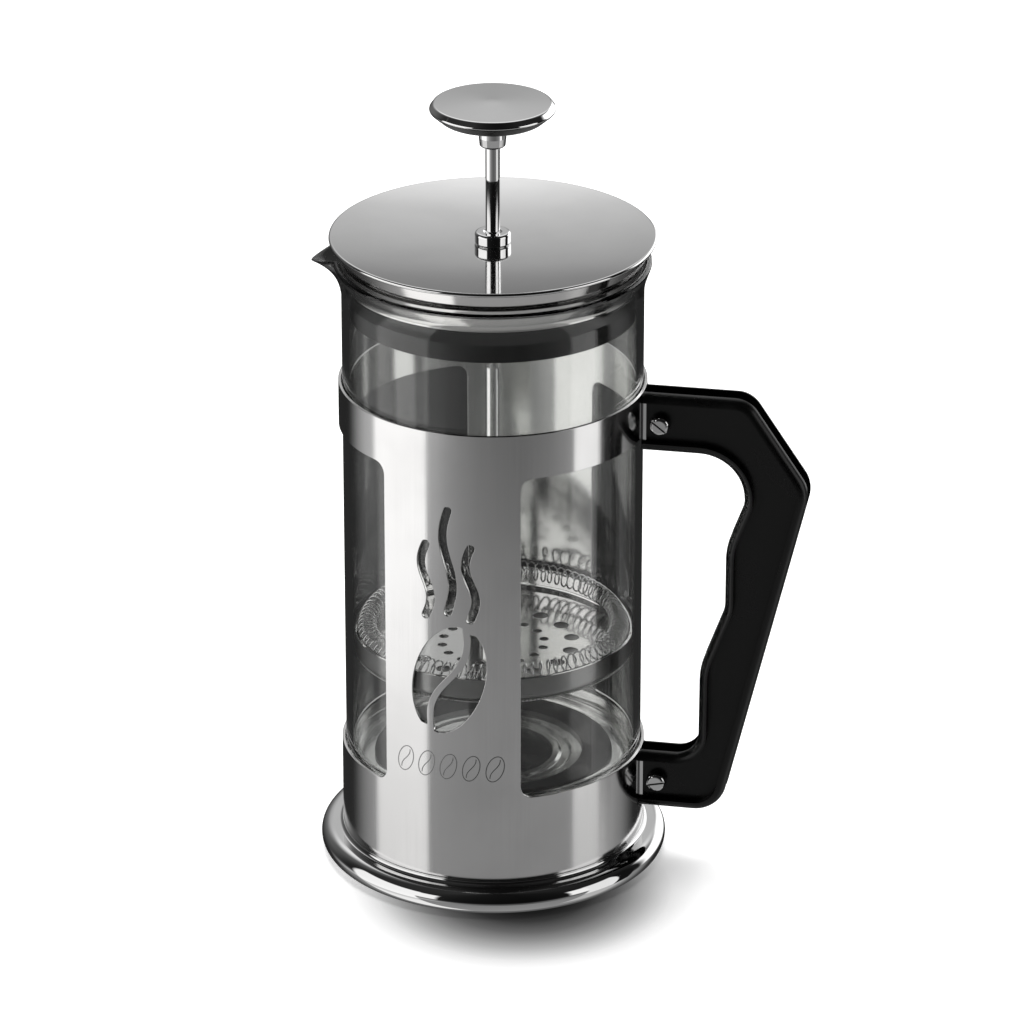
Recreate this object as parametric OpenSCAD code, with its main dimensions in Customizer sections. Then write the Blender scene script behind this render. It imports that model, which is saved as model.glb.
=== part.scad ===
// French press: a glass beaker in a steel frame, with a lift-off lid and a sliding plunger.
// Millimetres, +Z up. The origin is on the pot's axis, on the surface that it stands on.
// The handle points along +X and the spout along -X.

/* [Beaker] */
// Outside diameter of the glass
glass_d = 99.2; // [80:0.1:125]
// Thickness of the glass wall
glass_t = 2.3; // [1.5:0.1:3]
// Height of the beaker, from its underside to its rim
glass_h = 178.7; // [145:0.1:220]
// Thickness of the glass floor
glass_floor_t = 3; // [2:0.1:5]
// Outside radius of the rounded corner round the beaker's floor
glass_corner_r = 8; // [4:0.5:12]
// How far the rim flares out past the wall
rim_flare = 2.9; // [1.5:0.1:4]
// Height of the flared part of the rim
rim_flare_h = 8.2; // [6:0.1:12]
// How far the spout's lip reaches past the wall
spout_reach = 10.9; // [7:0.1:14]
// How far the spout's lip lies below the rim
spout_drop = 5; // [3:0.1:7]
// Height of the spout's throat
spout_h = 19; // [15:0.5:25]

/* [Frame] */
// Thickness of the frame's sheet steel
sheet_t = 1; // [0.8:0.1:1.5]
// Height of the whole sheet, from the base ring to the top of the band
cage_h = 159.9; // [130:0.1:190]
// Height of the closed skirt under the windows
skirt_h = 30.1; // [24:0.1:38]
// Height of the band over the windows
band_h = 15.4; // [10:0.1:20]
// Width of the front and the back panel, along the sheet
panel_w = 48.3; // [38:0.1:60]
// Turn of both panels away from square to the handle, in degrees
panel_turn = -6; // [-20:1:20]
// Radius of the windows' corners
window_corner_r = 4; // [2:0.5:8]
// Height of the bean that is cut out of the front panel
bean_h = 40; // [26:1:44]
// Width of that bean
bean_w = 24; // [16:1:28]
// Length of the middle steam slot over the bean
steam_h = 36; // [24:1:38]
// Width of the steam slots
steam_w = 2.8; // [1.5:0.1:4]

/* [Base] */
// How far the base ring reaches out past the sheet
base_reach = 7.4; // [5:0.1:14]
// Height of the base ring's shoulder, where the skirt stands
base_h = 10.5; // [9:0.1:14]
// Thickness of the base ring's sheet
base_t = 1.2; // [0.8:0.1:1.6]
// Height of the seat's top, under the cushion
seat_h = 32.8; // [26:0.1:38]
// Thickness of the cushion between the seat and the beaker
cushion_t = 1.2; // [0.8:0.1:2]
// How far the rubber foot stands out under the base ring
foot_proud = 0.6; // [0.3:0.1:1.5]

/* [Handle] */
// Thickness of the handle
handle_t = 12; // [12:0.5:20]
// How far the handle reaches out from the frame
handle_reach = 55.7; // [45:0.1:68]
// Height of the upper arm
upper_arm_h = 20.3; // [18:0.1:26]
// Height of the lower arm
lower_arm_h = 20.2; // [18:0.1:27]
// Length of the handle from its lower to its upper edge
handle_h = 150.1; // [135:0.1:180]
// Height of the handle's lower edge over the table
handle_z = 20.2; // [15:0.1:24]
// Diameter of the handle screws' shanks
screw_d = 4; // [3:0.1:4.5]
// Diameter of the handle screws' heads
screw_head_d = 6.4; // [5.5:0.1:8]
// Thickness of the metal brackets in the handle's arms
bracket_t = 2; // [1.5:0.1:3]

/* [Lid] */
// How far the lid's edge reaches out past the beaker's rim
lid_reach = 1.0; // [0:0.1:3]
// Height of the lid's edge over the beaker's rim
lid_edge_h = 8.3; // [6:0.1:10]
// Thickness of the rolled edge
lid_edge_t = 1.5; // [1:0.1:2]
// How deep the lid's middle is dished below its edge
lid_dish = 3.3; // [2:0.1:4]
// Thickness of the lid's sheet
lid_t = 0.8; // [0.5:0.1:1]
// How far the plastic insert reaches down below the rim
insert_drop = 18.4; // [15:0.1:24]
// Wall thickness of the plastic insert
insert_t = 2.2; // [1.5:0.1:3]
// Diameter of the rod bushing's flange
bushing_d = 11.9; // [10:0.1:15]
// Height of the rod bushing over the lid
bushing_h = 4.0; // [3:0.1:7]

/* [Plunger] */
// Diameter of the rod
rod_d = 4.8; // [4:0.1:6]
// How far the plunger is pulled up from its lowest place
lift = 29.4; // [10:0.1:60]
// Diameter of the knob
knob_d = 41; // [30:0.1:50]
// Thickness of the knob's rounded rim
knob_rim_t = 4.0; // [4:0.1:8]
// How far the knob's top is crowned
knob_crown = 1.0; // [0.5:0.1:3]
// Depth of the knob's underside, from its rim to the ferrule
knob_under = 2.5; // [1.5:0.1:5]
// Diameter of the ferrule under the knob
ferrule_d = 9; // [8:0.1:12]
// Height of the ferrule
ferrule_h = 8; // [5:0.1:12]
// Gap between the filter dish and the glass
filter_gap = 0.8; // [0.6:0.1:1.2]
// Height of the filter dish's wall
dish_h = 8.2; // [6:0.1:10]
// Thickness of the filter dish's sheet
dish_t = 0.6; // [0.4:0.1:1]
// Number of holes in each ring of the dish
hole_count = 16; // [8:1:24]
// Diameter of the outer ring's holes
outer_hole_d = 5.1; // [3:0.1:7]
// Radius of the outer ring
outer_ring_r = 26.6; // [24:0.1:32]
// Diameter of the inner ring's holes
inner_hole_d = 3.1; // [2:0.1:4]
// Radius of the inner ring
inner_ring_r = 17.2; // [15:0.1:19]
// Turn of the filter's hole pattern, in degrees
hole_turn = -4; // [-11:0.5:11]
// Radius of the spring's loops
coil_r = 3.3; // [2.5:0.1:4]
// Thickness of the filter mesh with its folded rim
mesh_t = 0.6; // [0.4:0.1:1]
// Thickness of the cross plate
cross_t = 0.8; // [0.6:0.1:1.5]
// Height of the nut under the cross plate
nut_h = 3.8; // [3:0.1:6]

/* [Hidden] */
$fn = 96;

// Clearances
fit = 0.1;          // between pieces that are pressed or screwed together
weld_gap = 0.05;    // between sheets that are welded face to face
running = 0.05;     // round the sliding rod
soft_gap = 0.3;     // between curved faces of pieces that part
floor_gap = 1.6;    // under the pressed-down plunger
cut = 1;            // how far a cutting tool runs past a face

// Beaker
glass_r = glass_d / 2;
bore_r = glass_r - glass_t;
glass_z = seat_h + cushion_t;
floor_z = glass_z + glass_floor_t;
rim_z = glass_z + glass_h;
flare_z = rim_z - rim_flare_h;
flare_round = 20;
spout_foot_r = 3;
spout_top_r = 12.1;
spout_t = 0.85 * glass_t;
spout_foot_x = glass_r - 3.4;
spout_top_x = glass_r + spout_reach - 9.8;

// Frame
cage_ir = glass_r + soft_gap;
cage_r = cage_ir + sheet_t;
cage_top = base_h + cage_h;
window_z0 = base_h + skirt_h;
window_z1 = cage_top - band_h;
panel_angle = panel_w / cage_r * 180 / PI;
bean_z = window_z0 + 2.4 + bean_h / 2 + 20;
bean_tilt = -16;
bean_web = 2.4;
bean_sway = 3;
steam_gap = 7.6;
steam_sway = 1.7;
steam_z = bean_z + bean_h / 2 + 4.5;

// Base
base_r = cage_r + base_reach;
hem_z = foot_proud;
bead_z = base_h - 1.5;
step_z = base_h - 0.9;
collar_r = cage_ir - fit;
collar_ir = collar_r - base_t;
collar_top = base_h + 5.5;
foot_r = collar_ir + 4.6;
pad_t = 2.5;
cushion_r = glass_r - glass_corner_r - 1.6;
cushion_w = 10;
seat_hole_r = 20;

// Handle
handle_top = handle_z + handle_h;
upper_z = handle_top - upper_arm_h / 2;
lower_z = handle_z + lower_arm_h / 2;
screw_drop = 0.7;
screw_x = cage_r + 5.6;
bracket_l = 11;
bracket_h = 14;
bracket_foot_t = 1.2;
bracket_foot_w = 8.4;
head_h = 1.6;
head_sunk = 1;
slot_w = 0.9;
slot_deep = 0.7;
nut_flat = 7;
nut_t = 3;

// Lid
lid_r = glass_r + rim_flare + lid_reach;
edge_top = rim_z + lid_edge_h;
edge_bottom = edge_top - lid_edge_t;
lid_top = edge_top - lid_dish;
dish_edge_r = lid_r - 9.5;
dish_round = 50;
liner_tip_z = rim_z - 7.2;
insert_r = bore_r - 0.6;
insert_z = rim_z - insert_drop;
insert_top = insert_z + 11.1;
web_z = insert_top - 2;
web_t = 3;
hub_r = 8;
shank_r = 4;
bushing_nut_h = 3;
bushing_nut_flat = 11;
bushing_z = web_z - bushing_nut_h - 0.5;
bushing_top = lid_top + bushing_h;

// Plunger
rod_r = rod_d / 2;
slide_r = rod_r + running;
knob_r = knob_d / 2;
rod_z = floor_z + floor_gap + lift;
nut_z = rod_z + 0.9;
cross_z = nut_z + nut_h;
mesh_z = cross_z + cross_t;
dish_z = mesh_z + mesh_t;
dish_top = dish_z + dish_h;
dish_r = bore_r - filter_gap;
coil_x = dish_r - dish_t - coil_r - 0.4;
coil_z = dish_top + 0.3;
boss_r = 4.5;
boss_h = 6;
ferrule_z = bushing_top + lift;
knob_z = ferrule_z + ferrule_h;
rod_end = ferrule_z + ferrule_h - 1.5;

// Points of an arc that joins two straight sides at a corner [x, y, radius].
function unit(v) = v / norm(v);
function short_turn(a) = a > 180 ? a - 360 : a < -180 ? a + 360 : a;
function corner_arc(before, corner, after, steps) =
    len(corner) < 3 || corner[2] == 0 ? [[corner[0], corner[1]]] :
    let (
        point = [corner[0], corner[1]],
        u = unit([before[0], before[1]] - point),
        v = unit([after[0], after[1]] - point),
        half = acos(u * v) / 2,
        centre = point + unit(u + v) * corner[2] / sin(half),
        first = point + u * corner[2] / tan(half) - centre,
        last = point + v * corner[2] / tan(half) - centre,
        start = atan2(first[1], first[0]),
        sweep = short_turn(atan2(last[1], last[0]) - start)
    )
    [for (i = [0:steps]) centre + corner[2] * [cos(start + sweep * i / steps), sin(start + sweep * i / steps)]];

// A closed outline with a rounded corner wherever a corner has a radius.
function rounded(corners, steps = 6) =
    let (n = len(corners))
    [for (i = [0:n - 1]) each corner_arc(corners[(i + n - 1) % n], corners[i], corners[(i + 1) % n], steps)];

module revolve(corners, steps = 6) {
    rotate_extrude()
        polygon(rounded(corners, steps));
}

module hex_nut(flat, height, hole_r) {
    difference() {
        cylinder(h = height, d = flat / cos(30), $fn = 6);
        translate([0, 0, -cut])
            cylinder(h = height + 2 * cut, r = hole_r);
    }
}

// A point on the line from a through b, well past b, so that an outline crosses a cut at a clear angle.
function past(a, b) = b + 8 * (b - a);

// The outline of a panel between the windows, with the windows' rounded corners on both sides.
function panel_outline() =
    let (
        steps = 6,
        r = window_corner_r,
        edge_x = cage_r * sin(panel_angle / 2) + r,
        turns = [for (i = [0:steps]) r * [cos(90 * i / steps), 1 - sin(90 * i / steps)]],
        low = [for (i = [0:steps]) [edge_x - turns[steps - i][0], window_z0 + turns[steps - i][1]]],
        high = [for (i = [0:steps]) [edge_x - turns[i][0], window_z1 - turns[i][1]]],
        side = concat(
            [past(low[1], low[0])],
            [for (i = [1:steps]) low[i]],
            [for (i = [0:steps - 1]) high[i]],
            [past(high[steps - 1], high[steps])]
        )
    )
    concat(side, [for (i = [len(side) - 1:-1:0]) [-side[i][0], side[i][1]]]);

// Both windows: a slab right across the frame, less the two panels that stay.
module windows() {
    difference() {
        translate([0, 0, window_z0])
            cylinder(h = window_z1 - window_z0, r = 1.5 * cage_r);
        rotate([0, 0, panel_turn])
            rotate([90, 0, 0])
                translate([0, 0, -2 * cage_r])
                    linear_extrude(4 * cage_r)
                        polygon(panel_outline());
    }
}

// Cutters for a coffee bean, split by a wavy web, with three wisps of steam over it.
module bean() {
    steps = 40;
    web_steps = 12;
    reach = bean_h / 2 + cut;
    web = [for (i = [-web_steps:web_steps])
        let (y = reach * i / web_steps) [bean_sway * sin(180 * y / reach), y]];
    rotate(bean_tilt)
        difference() {
            linear_extrude(cage_r)
                polygon([for (i = [0:steps - 1])
                    [bean_w / 2 * cos(360 * i / steps), bean_h / 2 * sin(360 * i / steps)]]);
            translate([0, 0, -cut])
                linear_extrude(cage_r + 2 * cut)
                    polygon(concat(
                        [for (p = web) p + [bean_web / 2, 0]],
                        [for (i = [len(web) - 1:-1:0]) web[i] - [bean_web / 2, 0]]
                    ));
        }
}

module steam(length) {
    steps = 14;
    line = [for (i = [0:steps]) [steam_sway * sin(360 * i / steps), length * i / steps]];
    linear_extrude(cage_r)
        polygon(concat(
            [for (p = line) p + [steam_w / 2, 0]],
            [for (i = [steps:-1:0]) line[i] - [steam_w / 2, 0]]
        ));
    for (end = [line[0], line[steps]])
        translate(end)
            cylinder(h = cage_r, d = steam_w);
}

module cut_out() {
    translate([0, bean_z])
        bean();
    for (side = [-1:1])
        translate([side * steam_gap, steam_z - 2 * abs(side)])
            steam(side == 0 ? steam_h : 0.7 * steam_h);
}

module frame_cage() {
    color("silver")
        difference() {
            translate([0, 0, base_h])
                cylinder(h = cage_h, r = cage_r);
            translate([0, 0, base_h - cut])
                cylinder(h = cage_h + 2 * cut, r = cage_ir);
            windows();
            rotate([0, 0, panel_turn])
                rotate([90, 0, 0])
                    translate([0, 0, cage_ir / 2])
                        cut_out();
        }
}

module base_ring() {
    bead = (bead_z - hem_z) / 2 - 0.01;
    inner = bead - base_t;
    color("gainsboro")
        revolve([
            [collar_ir, bead_z - base_t],
            [collar_ir, collar_top],
            [collar_r, collar_top],
            [collar_r, base_h],
            [cage_r + 0.3, base_h],
            [cage_r + 0.3, step_z, 0.5],
            [cage_r + 2.4, step_z, 0.45],
            [cage_r + 2.8, bead_z, 0.35],
            [base_r, bead_z, bead],
            [base_r, hem_z, bead],
            [foot_r + fit, hem_z],
            [foot_r + fit, hem_z + base_t],
            [base_r - base_t, hem_z + base_t, inner],
            [base_r - base_t, bead_z - base_t, inner]
        ]);
}

module beaker_seat() {
    color("silver")
        revolve([
            [collar_ir, collar_top],
            [collar_r, collar_top],
            [collar_r, seat_h, 2.2],
            [seat_hole_r, seat_h],
            [seat_hole_r, seat_h - base_t],
            [collar_ir, seat_h - base_t, 1]
        ]);
}

module seat_cushion() {
    color("dimgray")
        revolve([
            [cushion_r - cushion_w, seat_h],
            [cushion_r, seat_h],
            [cushion_r, seat_h + cushion_t],
            [cushion_r - cushion_w, seat_h + cushion_t]
        ]);
}

module foot_pad() {
    top = bead_z - base_t - fit;
    color("black")
        revolve([
            [0, 0],
            [foot_r, 0, 0.3],
            [foot_r, top],
            [collar_ir, top],
            [collar_ir, pad_t, 1],
            [0, pad_t]
        ]);
}

// The handle's outline in X and Z: two arms, a slanted back and a waved finger side.
function handle_outline() =
    let (
        root = cage_r - 3,
        tip = cage_r + handle_reach,
        arm_top = handle_top - upper_arm_h,
        arm_low = handle_z + lower_arm_h
    )
    rounded([
        [root, handle_z],
        [tip - 28.7, handle_z, 11],
        [tip, handle_top - 30.6, 11],
        [tip - 20.7, handle_top, 9],
        [root, handle_top],
        [root, arm_top],
        [tip - 21.8, arm_top, 15],
        [tip - 21.8, arm_top - 17.1, 10],
        [tip - 27.7, arm_top - 32.9, 25],
        [tip - 27.7, arm_top - 55, 14],
        [tip - 35.9, arm_low + 32.3, 25],
        [tip - 36.1, arm_low, 8],
        [root, arm_low]
    ], 5);

module handle_slab() {
    translate([0, handle_t / 2, 0])
        rotate([90, 0, 0])
            linear_extrude(handle_t)
                polygon(handle_outline());
}

// The space of a bracket in one arm, larger all round by a clearance.
module bracket_shape(z, grow) {
    foot_r = cage_r + bracket_foot_t;
    inner_r = cage_r + weld_gap - grow;
    difference() {
        translate([0, -bracket_foot_w / 2 - grow, z - bracket_h / 2 - grow])
            intersection() {
                cube([2 * cage_r, bracket_foot_w + 2 * grow, bracket_h + 2 * grow]);
                translate([0, bracket_foot_w / 2 + grow, -cut])
                    cylinder(h = bracket_h + 2 * cut + 2 * grow, r = foot_r + grow);
            }
        translate([0, 0, z - bracket_h])
            cylinder(h = 2 * bracket_h, r = inner_r);
    }
    translate([cage_r + bracket_foot_t / 2, -bracket_t / 2 - grow, z - bracket_h / 2 - grow])
        cube([bracket_l - bracket_foot_t / 2 + grow, bracket_t + 2 * grow, bracket_h + 2 * grow]);
}

module across(z) {
    translate([screw_x, 0, z - screw_drop])
        rotate([-90, 0, 0])
            children();
}

module handle() {
    color("#171719")
        difference() {
            handle_slab();
            translate([0, 0, handle_z - cut])
                cylinder(h = handle_h + 2 * cut, r = cage_r + fit);
            for (z = [lower_z, upper_z]) {
                bracket_shape(z, fit);
                across(z) {
                    translate([0, 0, -handle_t])
                        cylinder(h = 2 * handle_t, d = screw_d + 2 * fit);
                    translate([0, 0, -handle_t])
                        cylinder(h = handle_t / 2 + head_sunk, d = screw_head_d + 4 * fit);
                    translate([0, 0, handle_t / 2 - nut_t - fit])
                        cylinder(h = handle_t, d = (nut_flat + 2 * fit) / cos(30), $fn = 6);
                }
            }
        }
}

module bracket(z) {
    difference() {
        bracket_shape(z, 0);
        across(z)
            translate([0, 0, -bracket_t])
                cylinder(h = 2 * bracket_t, d = screw_d + 2 * fit);
    }
}

module upper_bracket() {
    color("silver")
        bracket(upper_z);
}

module lower_bracket() {
    color("silver")
        bracket(lower_z);
}

module screw(slot_turn) {
    seat = -handle_t / 2 + head_sunk;
    difference() {
        union() {
            translate([0, 0, seat])
                cylinder(h = handle_t - head_sunk - 0.4, d = screw_d);
            translate([0, 0, seat - head_h])
                revolve([[0, 0], [screw_head_d / 2, 0, 1.1], [screw_head_d / 2, head_h], [0, head_h]]);
        }
        rotate([0, 0, slot_turn])
            translate([-screw_head_d, -slot_w / 2, seat - head_h - cut])
                cube([2 * screw_head_d, slot_w, slot_deep + cut]);
    }
}

module upper_screw() {
    color("gainsboro")
        across(upper_z)
            screw(38);
}

module lower_screw() {
    color("gainsboro")
        across(lower_z)
            screw(-12);
}

module handle_nut() {
    translate([0, 0, handle_t / 2 - nut_t])
        hex_nut(nut_flat, nut_t, screw_d / 2 + running);
}

module upper_nut() {
    color("gainsboro")
        across(upper_z)
            handle_nut();
}

module lower_nut() {
    color("gainsboro")
        across(lower_z)
            handle_nut();
}

// The spout's cone, which opens upwards and outwards and runs on past the rim.
module spout_cone(depth) {
    run = spout_top_x - spout_foot_x;
    past = 1.4;
    top_r = spout_foot_r + past * (spout_top_r - spout_foot_r);
    translate([spout_foot_x, 0, rim_z - spout_h])
        rotate([0, atan2(run, spout_h), 0])
            cylinder(h = past * norm([run, spout_h]), r1 = spout_foot_r - depth, r2 = top_r - depth);
}

// Everything under a plane that slopes from the rim down to the spout's tip.
module under_lip() {
    size = 4 * spout_h;
    slope = atan2(spout_drop, spout_reach - rim_flare);
    translate([glass_r + rim_flare, 0, rim_z])
        rotate([0, slope, 0])
            translate([-size / 2, -size / 2, -size])
                cube(size);
}

module beaker() {
    cavity = [
        [0, floor_z],
        [bore_r, floor_z, glass_corner_r - glass_t],
        [bore_r, flare_z, flare_round + glass_t],
        [bore_r + rim_flare, rim_z],
        [bore_r + rim_flare, rim_z + spout_h],
        [0, rim_z + spout_h]
    ];
    wall = [
        [0, glass_z],
        [glass_r, glass_z, glass_corner_r],
        [glass_r, flare_z, flare_round],
        [glass_r + rim_flare, rim_z],
        [bore_r + rim_flare, rim_z],
        [bore_r, flare_z, flare_round + glass_t],
        [bore_r, floor_z, glass_corner_r - glass_t],
        [0, floor_z]
    ];
    color("lightblue", 0.4)
        rotate([0, 0, 180])
            difference() {
                union() {
                    revolve(wall);
                    difference() {
                        intersection() {
                            spout_cone(0);
                            under_lip();
                            cylinder(h = rim_z, r = 2 * glass_r);
                        }
                        revolve(cavity);
                    }
                }
                spout_cone(spout_t);
            }
}

module lid_cap() {
    rise = (edge_top - lid_top) / (lid_r - dish_edge_r);
    hem_r = dish_edge_r + (edge_bottom - lid_top + lid_t) / rise;
    color("gainsboro")
        revolve([
            [shank_r + fit, lid_top - lid_t],
            [dish_edge_r, lid_top - lid_t, dish_round + lid_t],
            [hem_r, edge_bottom],
            [lid_r, edge_bottom, 0.4],
            [lid_r, edge_top, 0.6],
            [dish_edge_r, lid_top, dish_round],
            [shank_r + fit, lid_top]
        ]);
}

module lid_liner() {
    top_r = lid_r - 0.9;
    neck_r = bore_r + rim_flare - 0.8;
    tip_r = bore_r - 0.4;
    color("silver")
        revolve([
            [tip_r - lid_t, liner_tip_z],
            [tip_r, liner_tip_z],
            [tip_r, liner_tip_z + 1.4, 4],
            [neck_r, rim_z - 0.3, 12],
            [top_r, edge_bottom - fit],
            [top_r - lid_t, edge_bottom - fit],
            [neck_r - lid_t, rim_z - 0.3, 12.8],
            [tip_r - lid_t, liner_tip_z + 1.6, 3.2]
        ]);
}

module lid_insert() {
    plug_r = bore_r - 0.4 - lid_t - fit;
    cap_under = lid_top - lid_t - fit;
    color("#1c1c1e")
        revolve([
            [shank_r + fit, web_z],
            [insert_r - insert_t, web_z, 1.5],
            [insert_r - insert_t, insert_z, 0.6],
            [insert_r, insert_z, 0.8],
            [insert_r, insert_top - 0.2, 0.5],
            [plug_r, insert_top - 0.2],
            [plug_r, web_z + web_t, 0.5],
            [hub_r, web_z + web_t, 2],
            [hub_r, cap_under],
            [shank_r + fit, cap_under]
        ]);
}

module rod_bushing() {
    color("gainsboro")
        revolve([
            [slide_r, bushing_z],
            [shank_r, bushing_z, 0.3],
            [shank_r, lid_top],
            [bushing_d / 2, lid_top, 0.8],
            [bushing_d / 2, bushing_top, 1],
            [slide_r, bushing_top]
        ]);
}

module bushing_nut() {
    color("silver")
        translate([0, 0, web_z - bushing_nut_h])
            hex_nut(bushing_nut_flat, bushing_nut_h, shank_r + running);
}

module knob() {
    rim_bottom = knob_z + knob_under;
    rim_top = rim_bottom + knob_rim_t;
    rim_round = knob_rim_t / 2 - 0.15;
    color("gainsboro")
        revolve([
            [0, knob_z],
            [ferrule_d / 2 + 1, knob_z, 1],
            [knob_r, rim_bottom, rim_round],
            [knob_r, rim_top, rim_round],
            [0, rim_top + knob_crown]
        ], 10);
}

module knob_ferrule() {
    color("gainsboro")
        difference() {
            translate([0, 0, ferrule_z])
                revolve([
                    [0, 0],
                    [ferrule_d / 2 - 0.6, 0, 0.6],
                    [ferrule_d / 2 - 0.6, 2.2],
                    [ferrule_d / 2, 2.6, 0.3],
                    [ferrule_d / 2, ferrule_h],
                    [0, ferrule_h]
                ]);
            translate([0, 0, ferrule_z - cut])
                cylinder(h = ferrule_h - 1.5 + cut, r = slide_r);
        }
}

module plunger_rod() {
    color("gainsboro")
        translate([0, 0, rod_z])
            cylinder(h = rod_end - fit - rod_z, r = rod_r);
}

module rod_boss() {
    color("silver")
        revolve([
            [slide_r, dish_z + dish_t],
            [boss_r, dish_z + dish_t],
            [boss_r, dish_z + dish_t + boss_h, 0.8],
            [slide_r, dish_z + dish_t + boss_h]
        ]);
}

module hole_ring(count, ring_r, hole_d, z, turn) {
    for (i = [0:count - 1])
        rotate([0, 0, turn + 360 * i / count])
            translate([ring_r, 0, z - cut])
                cylinder(h = 2 * cut + coil_r, d = hole_d, $fn = 32);
}

module filter_dish() {
    color("silver")
        difference() {
            revolve([
                [slide_r, dish_z],
                [dish_r - 0.5, dish_z, 0.9],
                [dish_r, dish_z + 2.6, 1.2],
                [dish_r, dish_top],
                [dish_r - dish_t, dish_top],
                [dish_r - dish_t, dish_z + 2.8, 1.2],
                [dish_r - dish_t - 0.6, dish_z + dish_t, 0.6],
                [slide_r, dish_z + dish_t]
            ]);
            hole_ring(hole_count, outer_ring_r, outer_hole_d, dish_z, hole_turn);
            hole_ring(hole_count, inner_ring_r, inner_hole_d, dish_z, hole_turn);
        }
}

module filter_coil() {
    color("lightgray")
        rotate_extrude()
            translate([coil_x, coil_z])
                circle(r = coil_r, $fn = 32);
}

module filter_mesh() {
    color("darkgray")
        revolve([
            [slide_r, mesh_z],
            [dish_r - 1, mesh_z, 0.2],
            [dish_r - 1, mesh_z + mesh_t, 0.2],
            [slide_r, mesh_z + mesh_t]
        ]);
}

module cross_plate() {
    color("silver")
        difference() {
            revolve([
                [slide_r, cross_z],
                [dish_r - 2.4, cross_z, 0.25],
                [dish_r - 2.4, cross_z + cross_t, 0.25],
                [slide_r, cross_z + cross_t]
            ]);
            hole_ring(6, 0.6 * dish_r, 0.44 * dish_r, cross_z, 30);
        }
}

module filter_nut() {
    color("gainsboro")
        translate([0, 0, nut_z])
            hex_nut(10, nut_h, slide_r);
}

frame_cage();
base_ring();
beaker_seat();
seat_cushion();
foot_pad();
handle();
upper_bracket();
lower_bracket();
upper_screw();
lower_screw();
upper_nut();
lower_nut();
beaker();
lid_cap();
lid_liner();
lid_insert();
rod_bushing();
bushing_nut();
knob();
knob_ferrule();
plunger_rod();
rod_boss();
filter_dish();
filter_coil();
filter_mesh();
cross_plate();
filter_nut();
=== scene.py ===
"""Looks of a French press: polished frame, glass beaker, dished lid, plunger and side handle."""

import logging
import math
from dataclasses import dataclass, field
from enum import Enum

import bpy
import numpy as np
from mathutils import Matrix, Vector
from mathutils.geometry import delaunay_2d_cdt


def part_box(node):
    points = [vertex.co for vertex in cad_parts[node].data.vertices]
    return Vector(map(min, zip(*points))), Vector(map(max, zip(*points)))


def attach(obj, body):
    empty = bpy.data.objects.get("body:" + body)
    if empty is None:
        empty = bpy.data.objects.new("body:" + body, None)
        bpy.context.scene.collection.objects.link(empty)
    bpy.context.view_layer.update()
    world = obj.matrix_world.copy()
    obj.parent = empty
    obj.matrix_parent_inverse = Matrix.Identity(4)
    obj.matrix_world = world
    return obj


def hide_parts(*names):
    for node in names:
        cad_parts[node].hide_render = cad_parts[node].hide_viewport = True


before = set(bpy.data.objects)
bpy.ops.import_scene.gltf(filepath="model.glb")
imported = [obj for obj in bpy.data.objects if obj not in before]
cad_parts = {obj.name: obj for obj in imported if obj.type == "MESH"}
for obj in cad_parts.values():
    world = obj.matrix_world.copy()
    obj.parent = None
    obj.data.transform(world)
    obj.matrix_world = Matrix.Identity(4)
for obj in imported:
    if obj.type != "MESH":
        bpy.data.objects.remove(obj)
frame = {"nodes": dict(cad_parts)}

Material = bpy.types.Material
Piece = bpy.types.Object
Socket = bpy.types.NodeSocket

LOG = logging.getLogger("french_press")
MM = 0.001
TINY = 1e-12
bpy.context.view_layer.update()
ROD_PLAY = 0.05


class Body(Enum):
    """The bodies that pieces ride on."""

    FRAME = "frame"
    BEAKER = "beaker"
    LID = "lid"
    PLUNGER = "plunger"


def low(node: str) -> np.ndarray:
    """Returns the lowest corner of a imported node, in millimetres."""
    return np.array(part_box(node)[0]) / MM


def high(node: str) -> np.ndarray:
    """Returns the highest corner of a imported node, in millimetres."""
    return np.array(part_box(node)[1]) / MM


def turned(node: str) -> tuple:
    """Returns a turned node's radius and its lowest and highest level, in millimetres."""
    return float(high(node)[0]), float(low(node)[2]), float(high(node)[2])


# ---------------------------------------------------------------- shapes


@dataclass
class Outline:
    """A run of points in a plane with the outward direction of the surface at each point."""

    points: np.ndarray
    normals: np.ndarray


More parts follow.
